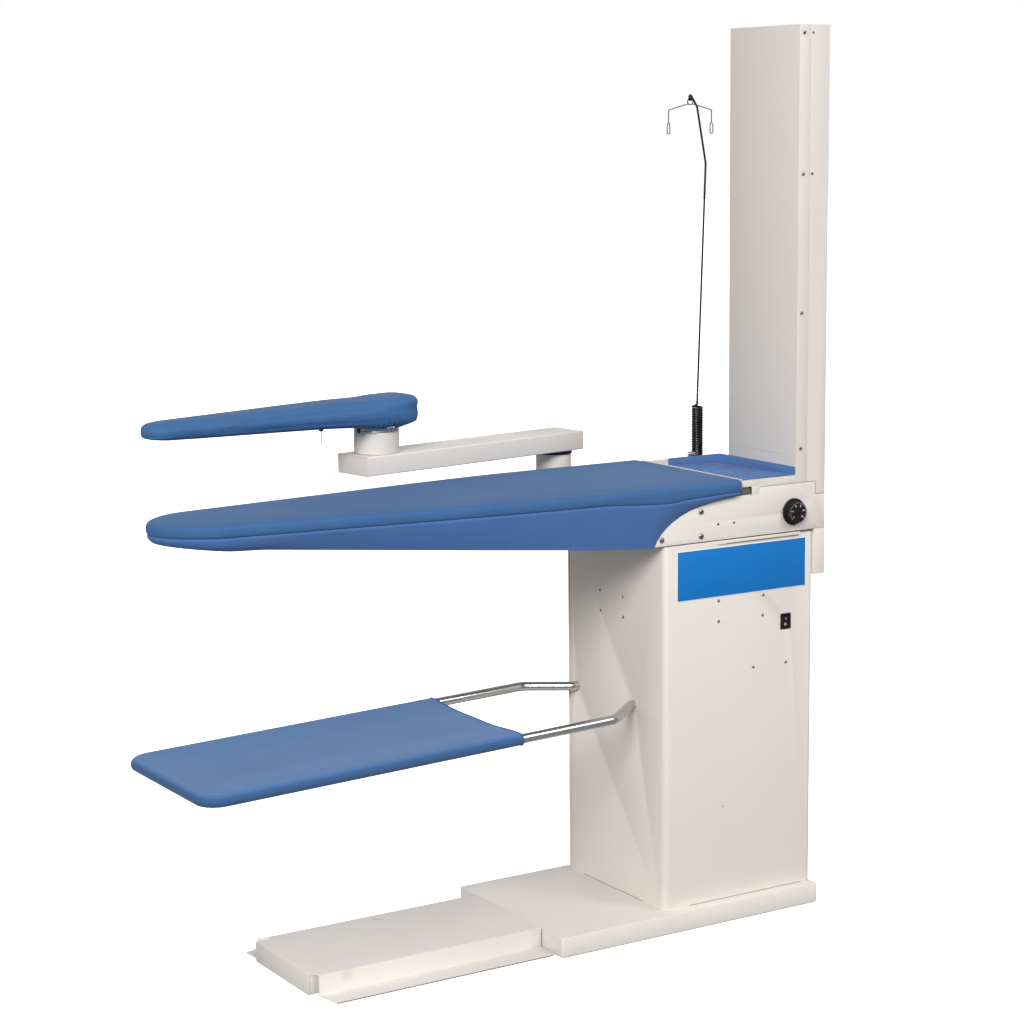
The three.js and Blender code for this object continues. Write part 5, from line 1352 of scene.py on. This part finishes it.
def turned_piece(name, profile, steps=96):
    """Spins a closed profile of radius and height pairs, in metres, once round Z."""
    count = len(profile)
    total = steps * count
    points = []
    faces = []
    for start in range(0, total, count):
        angle = TURN * (start // count) / steps
        points.extend((r * math.cos(angle), r * math.sin(angle), z) for r, z in profile)
        for index in range(count):
            a, b = start + index, start + (index + 1) % count
            faces.append((a, b, (b + count) % total, (a + count) % total))
    piece = mesh_piece(name, points, faces)
    face_outward(piece)
    smooth_by_angle(piece, 40)
    return piece


def ring_profile(inner, outer, low, high, edge):
    """A ring's section from millimetres, its outer edges and upper inner edge taken off."""
    corners = [
        (inner, low), (outer - edge, low), (outer, low + edge), (outer, high - edge),
        (outer - edge, high), (inner + edge, high), (inner, high - edge),
    ]
    return [(radius * MM, height * MM) for radius, height in corners]


def add_rings():
    collar = turned_piece("arm_collar_ring", ring_profile(44, 46, 992.3, 1036, 0.7))
    to_collar = to_arm @ Matrix.Translation((-ARM_REACH, 0, 0))
    settle(collar, "arm_collar_ring", cream_paint, "arm", "arm_collar", carried=to_collar)
    low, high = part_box("sleeve_neck")
    neck = turned_piece("sleeve_neck_tube", [
        (41.2 * MM, low.z), (43.2 * MM, low.z), (43.2 * MM, 1036.3 * MM), (45.6 * MM, 1036.3 * MM),
        (46 * MM, 1036.8 * MM), (46 * MM, 1038.8 * MM),
        (45.6 * MM, 1039.3 * MM), (43.2 * MM, 1039.3 * MM),
        (43.2 * MM, high.z), (41.2 * MM, high.z),
    ])
    settle(neck, "sleeve_neck_tube", stainless, "sleeve_board", "sleeve_neck", carried=to_sleeve)


add_rings()

# %% [markdown]
# The band that clamps the cover's mouth is a strip of stainless steel bent almost full circle,
# with two ears and a bolt. A strip is extruded round the neck and left open at the front.

# %% Neck band
BAND_OPENING = math.radians(3.2)
BAND_STEPS = 90
BAND_INNER, BAND_OUTER = 43.6 * MM, 45.0 * MM
BAND_LOW, BAND_HIGH = 1041 * MM, 1051 * MM
BAND_EAR = 56 * MM
BOLT_Y, BOLT_Z = -51.5, 1046


def add_neck_band():
    arc = TURN - 2 * BAND_OPENING
    strip = [
        on_circle(-math.pi / 2 + BAND_OPENING + arc * step / BAND_STEPS)
        for step in range(BAND_STEPS + 1)
    ]
    near_ear, far_ear = (Vector((end.x * BAND_EAR, -BAND_EAR)) for end in (strip[0], strip[-1]))
    route = [near_ear] + [place * BAND_OUTER for place in strip] + [far_ear]
    points = [(place.x, place.y, height) for place in route for height in (BAND_LOW, BAND_HIGH)]
    faces = [(i, i + 2, i + 3, i + 1) for i in range(0, len(points) - 2, 2)]
    band = mesh_piece("neck_band_strip", points, faces)
    apply_modifier(band, "SOLIDIFY", thickness=BAND_OUTER - BAND_INNER, offset=0)
    apply_modifier(band, "BEVEL", width=0.3 * MM, segments=2, limit_method="ANGLE")
    face_outward(band)
    smooth_by_angle(band, 35)
    settle(band, "neck_band_strip", stainless, "sleeve_board", "neck_band", carried=to_sleeve)
    head = cylinder(6, 4 * MM, 4 * MM, mm(7, BOLT_Y, BOLT_Z), (0, TURN / 4, 0))
    apply_modifier(head, "BEVEL", width=0.5 * MM, segments=2)
    shank = cylinder(24, 2 * MM, 20 * MM, mm(0, BOLT_Y, BOLT_Z), (0, TURN / 4, 0))
    apply_modifier(shank, "BEVEL", width=0.4 * MM, segments=2)
    pick_only(head)
    shank.select_set(True)
    bpy.ops.object.join()
    freeze(head)
    smooth_by_angle(head)
    settle(head, "neck_band_bolt", screw_steel, "sleeve_board", carried=to_sleeve)


add_neck_band()

# %% [markdown]
# The post is a painted pipe with a round bend, welded to a square plate on the rear panel.

# %% Post pipe
POST_RADIUS = 38 * MM
POST_BEND = 52 * MM
POST_ENTRY = 849 * MM
PLATE_SIDE = 72 * MM
PLATE_THICKNESS = 4 * MM


def add_post():
    low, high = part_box("post_pipe")
    start = Vector((POST_PLACE.x, low.y + 0.001, POST_ENTRY))
    corner = Vector((POST_PLACE.x, POST_PLACE.y, POST_ENTRY))
    top = Vector((POST_PLACE.x, POST_PLACE.y, high.z))
    route = rounded_route([start, corner, top], [POST_BEND], 20)
    add_wire("post_pipe_bend", route, POST_RADIUS, cream_paint, "stand", "post_pipe", sides=22)
    middle = (POST_PLACE.x, low.y + PLATE_THICKNESS / 2, POST_ENTRY)
    bpy.ops.mesh.primitive_cube_add(size=1, location=middle)
    plate = bpy.context.object
    plate.scale = (PLATE_SIDE, PLATE_THICKNESS, PLATE_SIDE)
    freeze(plate)
    apply_modifier(plate, "BEVEL", width=0.9 * MM, segments=3)
    smooth_by_angle(plate)
    settle(plate, "post_plate", cream_paint, "stand", "post_pipe")


add_post()

# %% [markdown]
# The hose support is one blackened wire: a close coil that lets it sway, a long rod with two
# bends, and a small hook. The yoke that hangs in the hook is a thinner wire with a ring in its
# middle and an eye at each end. All follow the routes of the model. The bolt holds the coil's
# lowest turns.

# %% Hose support
ROD_PLACE = mm(242, 125, 0)
ROD_WIRE = 2.2 * MM
COIL_WIRE = ROD_WIRE + 0.4 * MM
COIL_RADIUS = 10.2 * MM
COIL_PITCH = 5.5 * MM
COIL_TURNS = 20.5
COIL_FOOT = 925.5 * MM
COIL_STEPS = 28
# How the wire leaves the coil's top: its share of the radius, and its rise in millimetres.
COIL_EXIT = ((0.85, 1.2), (0.6, 3), (0.3, 4.6))
# How far each bend of the rod stands to the right of its foot, and its height, in metres.
ROD_BENDS = ((0.020, 1.557), (-0.003, 1.676), (-0.022, 1.704))
HOOK_ASIDE = 24.2 * MM
HOOK_LOW = 1690 * MM
HOOK_SIZE = 9 * MM


def add_coil():
    def on_coil(angle, radius, height):
        return ROD_PLACE + Vector((radius * math.cos(angle), radius * math.sin(angle), height))

    route = []
    for step in range(int(COIL_TURNS * COIL_STEPS) + 1):
        turns = step / COIL_STEPS
        route.append(on_coil(turns * TURN, COIL_RADIUS, COIL_FOOT + turns * COIL_PITCH))
    top = COIL_FOOT + COIL_TURNS * COIL_PITCH
    for share, lift in COIL_EXIT:
        route.append(on_coil(COIL_TURNS * TURN + 1 - share, COIL_RADIUS * share, top + lift * MM))
    route += [ROD_PLACE + Vector((0, 0, top + lift * MM)) for lift in (6.5, 12)]
    coil = add_wire("rod_coil", route, COIL_WIRE, black_steel, None, "rod_spring", sides=4)
    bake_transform(coil)
    print("coil", len(coil.data.polygons), "faces")
    return top + 12 * MM


coil_end = add_coil()


def add_rod():
    x, y = ROD_PLACE.x, ROD_PLACE.y
    hook_x = x - HOOK_ASIDE
    corners = [Vector((x, y, coil_end + lift * MM)) for lift in (0.3, 6.3)]
    corners += [Vector((x + aside, y, height)) for aside, height in ROD_BENDS]
    corners += [
        Vector((hook_x, y, HOOK_LOW)), Vector((hook_x, y - HOOK_SIZE, HOOK_LOW)),
        Vector((hook_x, y - HOOK_SIZE, HOOK_LOW + HOOK_SIZE)),
    ]
    bends = [value * MM for value in (5, 15, 15, 2.5, 2.5, 2.5)]
    route = rounded_route(corners, bends, 8)
    add_wire("hose_rod_wire", route, ROD_WIRE, black_steel, "rod", "hose_rod", sides=5)


add_rod()

# %% Hose yoke
YOKE_WIRE = 1.0 * MM
YOKE_RING = 6.5 * MM
YOKE_HALF = 56 * MM
YOKE_EYE = 3.6 * MM
YOKE_EYE_LENGTH = 24 * MM
YOKE_ARM = 11.5 * MM
YOKE_DROP = 25 * MM
YOKE_PLACE = mm(217.8, 120.5, 1687)


def yoke_side(sign):
    """The route from the eye's end up the arm and in to the ring, to one side of the middle."""
    foot = -YOKE_RING
    arm_end = foot - YOKE_ARM
    eye_top = arm_end - YOKE_DROP
    eye_low = eye_top - YOKE_EYE_LENGTH
    shoulder = eye_top - YOKE_EYE_LENGTH * 0.35
    inner, outer = YOKE_HALF - YOKE_EYE, YOKE_HALF + YOKE_EYE
    return [
        Vector((sign * (YOKE_HALF - YOKE_WIRE * 2), YOKE_WIRE, eye_top - YOKE_WIRE)),
        Vector((sign * inner, YOKE_WIRE / 2, shoulder)), Vector((sign * inner, 0, eye_low)),
        Vector((sign * outer, 0, eye_low)), Vector((sign * outer, 0, shoulder)),
        Vector((sign * YOKE_HALF, 0, eye_top)), Vector((sign * YOKE_HALF, 0, arm_end)),
        Vector((sign * YOKE_RING, -sign * YOKE_WIRE * 1.5, foot + YOKE_WIRE)),
    ]


def add_yoke():
    bends = [YOKE_EYE - YOKE_WIRE / 2] * 4 + [3 * MM] * 2
    ring = []
    for step in range(33):
        share = step / 32
        round_ring = on_circle(-math.pi / 2 - 0.25 + (TURN + 0.5) * share) * YOKE_RING
        ring.append(Vector((round_ring.x, YOKE_WIRE * 3 * (share - 0.5), round_ring.y)))
    left, right = (rounded_route(yoke_side(sign), bends, 6) for sign in (-1, 1))
    route = [point + YOKE_PLACE for point in left + ring + right[::-1]]
    add_wire("hose_yoke_wire", route, YOKE_WIRE, black_steel, "yoke", "hose_yoke", sides=3)


add_yoke()

# %% [markdown]
# The knob is a turned skirt under a fluted grip, with a flat face that holds plain ticks and
# numbers. It starts as a disc, each step is an inset and an extrusion, and the flutes are every
# other stretch of its side drawn in.

# %% Knob
KNOB_X, KNOB_Z = 265 * MM, 846 * MM
KNOB_BACK = -179.2 * MM
KNOB_RADIUS = 27.6 * MM
KNOB_GRIP = 23 * MM
KNOB_HEIGHT = 17 * MM
KNOB_SKIRT = 5 * MM
KNOB_FLUTES = 18
FLUTE_DEPTH = 0.955


def select_faces(piece, wanted):
    """Leaves edit mode's selection on the faces that the test accepts."""
    bpy.ops.mesh.select_all(action="DESELECT")
    sheet = bmesh.from_edit_mesh(piece.data)
    for face in sheet.faces:
        face.select = wanted(face)
    sheet.select_flush(True)
    bmesh.update_edit_mesh(piece.data)


def raise_face(height):
    bpy.ops.mesh.extrude_region_move(TRANSFORM_OT_translate={"value": (0, 0, height)})


def inset_face(width, height):
    bpy.ops.mesh.inset(thickness=width)
    bpy.ops.transform.translate(value=(0, 0, height))


def draw_in_flutes(knob):
    bpy.ops.mesh.select_all(action="DESELECT")
    sheet = bmesh.from_edit_mesh(knob.data)
    low = KNOB_SKIRT / 2 + 1.2 * MM
    for vertex in sheet.verts:
        angle = math.atan2(vertex.co.y, vertex.co.x)
        on_side = vertex.co.z > low and math.hypot(vertex.co.x, vertex.co.y) > KNOB_GRIP - 0.2 * MM
        vertex.select = on_side and math.cos(KNOB_FLUTES * angle) > 0.2
    sheet.select_flush_mode()
    bmesh.update_edit_mesh(knob.data)
    bpy.ops.transform.resize(value=(FLUTE_DEPTH, FLUTE_DEPTH, 1))


def add_knob():
    knob = cylinder(KNOB_FLUTES * 8, KNOB_RADIUS, KNOB_SKIRT, (0, 0, 0))
    pick_only(knob)
    bpy.ops.object.mode_set(mode="EDIT")
    select_faces(knob, lambda face: face.normal.z > 0.9)
    bpy.ops.mesh.inset(thickness=KNOB_RADIUS - KNOB_GRIP)
    raise_face(1.5 * MM)
    raise_face(KNOB_HEIGHT - KNOB_SKIRT - 2.5 * MM)
    inset_face(1.2 * MM, 1.0 * MM)
    inset_face(1.6 * MM, -0.5 * MM)
    draw_in_flutes(knob)
    bpy.ops.object.mode_set(mode="OBJECT")
    apply_modifier(
        knob, "BEVEL", width=0.35 * MM, segments=2, limit_method="ANGLE",
        angle_limit=math.radians(40),
    )
    smooth_by_angle(knob, 34)
    knob.data.transform(Matrix.Rotation(TURN / 4, 4, "X"))
    knob.data.transform(Matrix.Translation((KNOB_X, KNOB_BACK - KNOB_SKIRT / 2, KNOB_Z)))
    settle(knob, "knob_grip", black_plastic, "knob", "thermostat_knob")
    front = min(corner[1] for corner in knob.bound_box)
    back = max(corner[1] for corner in knob.bound_box)
    print("knob depth", round((back - front) / MM, 2), "mm")
    return front


knob_front = add_knob()

# %% [markdown]
# The knob's print is plain: ticks round the face and small figures from 1 to 6.

# %% Knob print
PRINT_FIRST, PRINT_SWEEP = -130, 260
FIGURE_REACH, FIGURE_SIZE = 14.2 * MM, 7.4 * MM
TICK_OUTER = 20.8 * MM
TICK_HALF_WIDTH = 0.42 * MM
TICKS = 26


def add_figure(number, face_y):
    """Flat print standing a hair above a face that looks along -Y."""
    name = f"knob_figure_{number}"
    angle = math.radians(PRINT_FIRST + PRINT_SWEEP * (number - 1) / 5)
    aside, up = FIGURE_REACH * math.sin(angle), FIGURE_REACH * math.cos(angle)
    place = Vector((KNOB_X + aside, face_y, KNOB_Z + up))
    curve = bpy.data.curves.new(name, "FONT")
    curve.body = str(number)
    curve.size = FIGURE_SIZE
    curve.align_x = "CENTER"
    curve.align_y = "CENTER"
    curve.extrude = 0.06 * MM
    text = new_object(name, curve)
    turn = Matrix.Rotation(angle, 4, "Y") @ Matrix.Rotation(TURN / 4, 4, "X")
    text.matrix_world = Matrix.Translation(place) @ turn
    settle(text, name, white_print, "knob")


def add_knob_print():
    face_y = knob_front + 0.45 * MM
    for number in range(1, 7):
        add_figure(number, face_y)
    centre = Vector((KNOB_X, face_y - 0.04 * MM, KNOB_Z))
    points = []
    for index in range(TICKS):
        angle = math.radians(PRINT_FIRST + PRINT_SWEEP * index / (TICKS - 1))
        length = 2.6 * MM if index % 5 == 0 else 1.5 * MM
        along = Vector((math.sin(angle), 0, math.cos(angle)))
        across = Vector((math.cos(angle), 0, -math.sin(angle))) * TICK_HALF_WIDTH
        inner, outer = centre + along * (TICK_OUTER - length), centre + along * TICK_OUTER
        points.extend([inner - across, inner + across, outer + across, outer - across])
    faces = [(start, start + 1, start + 2, start + 3) for start in range(0, len(points), 4)]
    thin_plate("knob_ticks", points, 0.1 * MM, white_print, "knob", faces)


add_knob_print()

# %% [markdown]
# The rocker carries the usual line and circle, moulded and filled with white.

# %% Switch marks
MARK_DROP = 6.4 * MM
LINE_HALF_WIDTH, LINE_HALF_HEIGHT = 0.5 * MM, 2.6 * MM
ROCKER_TILT = math.radians(7)


def add_switch_marks():
    low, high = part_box("switch_rocker")
    middle_x, middle_z = (low.x + high.x) / 2, (low.z + high.z) / 2
    corners = []
    for side, rise in ((-1, -1), (1, -1), (1, 1), (-1, 1)):
        height = middle_z + MARK_DROP + rise * LINE_HALF_HEIGHT
        corners.append((middle_x + side * LINE_HALF_WIDTH, low.y + 1.1 * MM, height))
    thin_plate("switch_line", corners, 0.2 * MM, white_print, "rocker")
    bpy.ops.mesh.primitive_torus_add(
        major_radius=2.4 * MM, minor_radius=0.45 * MM, major_segments=40, minor_segments=8,
        location=(middle_x, low.y + 2.2 * MM, middle_z - MARK_DROP),
        rotation=(TURN / 4 + ROCKER_TILT, 0, 0),
    )
    circle = bpy.context.object
    pick_only(circle)
    bpy.ops.object.shade_smooth()
    settle(circle, "switch_circle", white_print, "rocker")


add_switch_marks()

# %% [markdown]
# Pan-head screws hold the sheet parts. One is modelled with a rounded head and a cross recess,
# and each place gets a copy with its own mesh, turned a little differently.

# %% Screws
SCREW_RADIUS = 3.9 * MM
SCREW_FLATNESS = 0.55
CROSS_BLADE = mm(4.2, 0.9, 2.4)
FRONT_Y = -178 * MM
LEFT_X = -60 * MM


def make_screw():
    bpy.ops.mesh.primitive_uv_sphere_add(segments=28, ring_count=14, radius=SCREW_RADIUS)
    head = bpy.context.object
    pick_only(head)
    bpy.ops.object.mode_set(mode="EDIT")
    bpy.ops.mesh.select_all(action="SELECT")
    bpy.ops.mesh.bisect(plane_co=(0, 0, 0), plane_no=(0, 0, 1), clear_inner=True, use_fill=True)
    bpy.ops.mesh.select_all(action="SELECT")
    bpy.ops.transform.resize(value=(1, 1, SCREW_FLATNESS))
    bpy.ops.object.mode_set(mode="OBJECT")
    for turn in (0, TURN / 4):
        bpy.ops.mesh.primitive_cube_add(size=1, location=(0, 0, 2.2 * MM), rotation=(0, 0, turn))
        blade = bpy.context.object
        blade.scale = CROSS_BLADE
        cut_away(head, blade)
    smooth_by_angle(head, 35)
    return head


def set_screws(group, places, facing, scale=1.0):
    """Copies of the screw on one face; facing turns +Z of the screw to the face's outside."""
    for index, place in enumerate(places):
        name = f"{group}_{index + 1}"
        piece = new_object(name, screw_head.data.copy())
        spin = Matrix.Rotation(index * 0.9 + 0.4, 4, "Z")
        piece.matrix_world = Matrix.Translation(place) @ facing @ spin @ Matrix.Scale(scale, 4)
        settle(piece, name, screw_steel, "stand")


def on_front(places):
    return [Vector((x * MM, FRONT_Y, z * MM)) for x, z in places]


screw_head = make_screw()
to_front = Matrix.Rotation(TURN / 4, 4, "X")
to_left = Matrix.Rotation(-TURN / 4, 4, "Y")
FRONT_SCREWS = [
    (74.7, 678.7), (74.9, 636), (189, 678.5), (188.1, 636.4), (164.4, 529.4), (249.6, 529.2),
]
LEFT_SCREWS = [(53.8, 679), (51, 636.6), (-30.3, 678.2), (-31.6, 635.7)]
PANEL_SCREWS = [(-68, 818), (29.6, 866.8), (29.8, 816.6)]
CHIMNEY_SCREWS = [(283, height) for height in (1820, 1538, 1256, 976)]
set_screws("front_screw", on_front(FRONT_SCREWS), to_front, 0.8)
set_screws("side_screw", [Vector((LEFT_X, y * MM, z * MM)) for y, z in LEFT_SCREWS], to_left, 0.8)
set_screws("panel_screw", on_front(PANEL_SCREWS), to_front, 1.5)
set_screws("chimney_screw", on_front(CHIMNEY_SCREWS), to_front)
bpy.data.objects.remove(screw_head)

# %% [markdown]
# The sign is a thin plate stuck to the cabinet's front, a blue face inside a narrow white edge.

# %% Sign plate
add_box("sign_edge", (-29.8, -178.5, 686.3), (299.8, -178, 789.8), sign_white, 0.15)
add_box("sign_face", (-28.2, -178.75, 687.9), (298.2, -178.5, 788.2), sign_blue, 0.08)
print("sign plate", 2, "pieces")

# %% [markdown]
# Where two folded sheets meet there is a narrow dark gap. Thin strips just proud of the sheet
# draw those gaps: round the top of the side panel, beside the end of the cabinet's lip, along
# the foot of the cabinet and across the chimney. The strip under the lip itself is painted
# shadow, where the lip casts its shade.

# %% Gap lines
LINE_PROUD = 0.15
# Name: left, right, low, high and the depth of the face it lies on.
FRONT_GAPS = {
    "panel_top_gap": (179, 323.4, 904.2, 905.0, -178),
    "panel_step_gap": (323.4, 324.3, 878.2, 905.0, -178),
    "panel_side_gap": (324.3, 349.6, 877.4, 878.2, -178),
    # The strip under the lip is painted shadow.
    "lip_painted_shadow": (92, 279.5, 795.2, 796.6, -180.5),
    "lip_end_gap": (284, 318, 800.0, 802.4, -178),
    "foot_gap": (4, 296, 44.2, 45.4, -178),
}
# Name: near, far, low, high, the face's place along the board, and the finish.
SIDE_GAPS = {
    "side_foot_gap": (-103, 120, 44.4, 45.6, -60, gap_and_painted_shade),
    "chimney_gap": (-126, 52, 959.7, 960.5, 272, faint_shade),
}
for gap, (left, right, low, high, face) in FRONT_GAPS.items():
    add_box(gap, (left, face - LINE_PROUD, low), (right, face + LINE_PROUD, high), gap_and_painted_shade)
for gap, (near, far, low, high, face, shade) in SIDE_GAPS.items():
    add_box(gap, (face - LINE_PROUD, near, low), (face + LINE_PROUD, far, high), shade)
print("gap lines", len(FRONT_GAPS) + len(SIDE_GAPS))

# %% [markdown]
# At the cover's rear corner the shelf's flange is folded round and leaves a small recess. The
# flange is an L of two plates, and the shade in the recess is painted on a dark plate behind it.
# The shelf's left edge is rolled.

# %% Shelf corner
add_box("corner_flange_top", (134, -177.4, 907), (178.2, -176.2, 920.6), cream_paint, 0.3)
add_box("corner_flange_side", (159, -177.4, 890.6), (178.2, -176.2, 907), cream_paint, 0.3)
# A dark plate at the back of the recess is painted shade.
add_box("corner_recess_painted_shade", (112, -173, 887), (160, -172.2, 908), gap_and_painted_shade)
shelf_roll = add_wire(
    "shelf_edge_roll", [mm(134.4, -177, 922.6), mm(134.4, 177, 922.6)], 1.6 * MM,
    cream_paint, "stand", sides=3,
)
print("shelf edge", round(shelf_roll.dimensions.y, 3), "m long")

# %% [markdown]
# Small round holes are left open in the side panel, the cabinet's front and the chimney's edge.
# The dark inside of each is painted shade: a thin black disc set on the sheet.

# %% Open holes
HOLES = {
    "panel_hole": [(73, 837, 2.6), (113, 836.4, 2.6)],
    "chimney_hole": [(307, 1820, 2.0), (307, 1538, 2.4)],
    "cabinet_hole": [(87.5, 243, 1.4)],
}
for group, holes in HOLES.items():
    for number, (x, z, radius) in enumerate(holes, 1):
        place = (x * MM, FRONT_Y, z * MM)
        disc = cylinder(20, radius * MM, 2 * LINE_PROUD * MM, place, (TURN / 4, 0, 0))
        settle(disc, f"{group}_{number}", hole_painted_shade, "stand")
print("open holes", sum(len(holes) for holes in HOLES.values()))

# %% [markdown]
# The pedal's end is folded from the same sheet: a return flange closes the near corner, a
# pointed flap stands out at the far one, and a small tab is bent up on the edge. Its top has a
# stamped mark.

# %% Pedal folds
add_box("pedal_return", (-843.2, -112.2, 4.4), (-820, -110.8, 43.4), base_paint, 0.3, "pedal")
add_box("pedal_tab", (-842, 116.4, 44.6), (-813, 118.2, 50), base_paint, 0.3, "pedal")
# A dark strip along the lip's outer lower edge is a painted contact shadow where the pedal meets
# the floor.
add_box("pedal_lip_painted_shadow", (-819, -179.5, 2.4), (-332, -178.8, 4.0), gap_and_painted_shade, 0.0, "pedal")
flap = [mm(-840, 174, 4.2), mm(-838, 124, 4.2), mm(-815, 178, 4.2)]
thin_plate("pedal_flap", flap, 1.6 * MM, base_paint, "pedal", [(0, 1, 2)])
mark_start, mark_end, mark_across = mm(-587, 107, 45.2), mm(-568, 94, 45.2), mm(0.8, 1.2, 0)
mark = [
    mark_start - mark_across, mark_end - mark_across,
    mark_end + mark_across, mark_start + mark_across,
]
thin_plate("pedal_mark", mark, 0.2 * MM, faint_shade, "pedal")
print("pedal folds", 4, "and a mark")

# %% [markdown]
# The coil's foot is clamped by a cross bolt with a zinc-plated hexagon head and a washer. They
# are two short cylinders, one with six sides, lying along the board.

# %% Foot bolt
# Name: sides, radius, and where it starts and ends along the board, in millimetres.
BOLT_PARTS = {"rod_foot_bolt": (6, 6.2, 216, 223), "rod_foot_washer": (32, 5.0, 223, 233.5)}
for name, (sides, radius, start, end) in BOLT_PARTS.items():
    middle = mm((start + end) / 2, 122, 936.5)
    turned = cylinder(sides, radius * MM, (end - start) * MM, middle, (0.3, TURN / 4, 0))
    apply_modifier(turned, "BEVEL", width=0.6 * MM, segments=2)
    smooth_by_angle(turned)
    settle(turned, name, zinc, "stand")
print("foot bolt", len(BOLT_PARTS), "pieces")
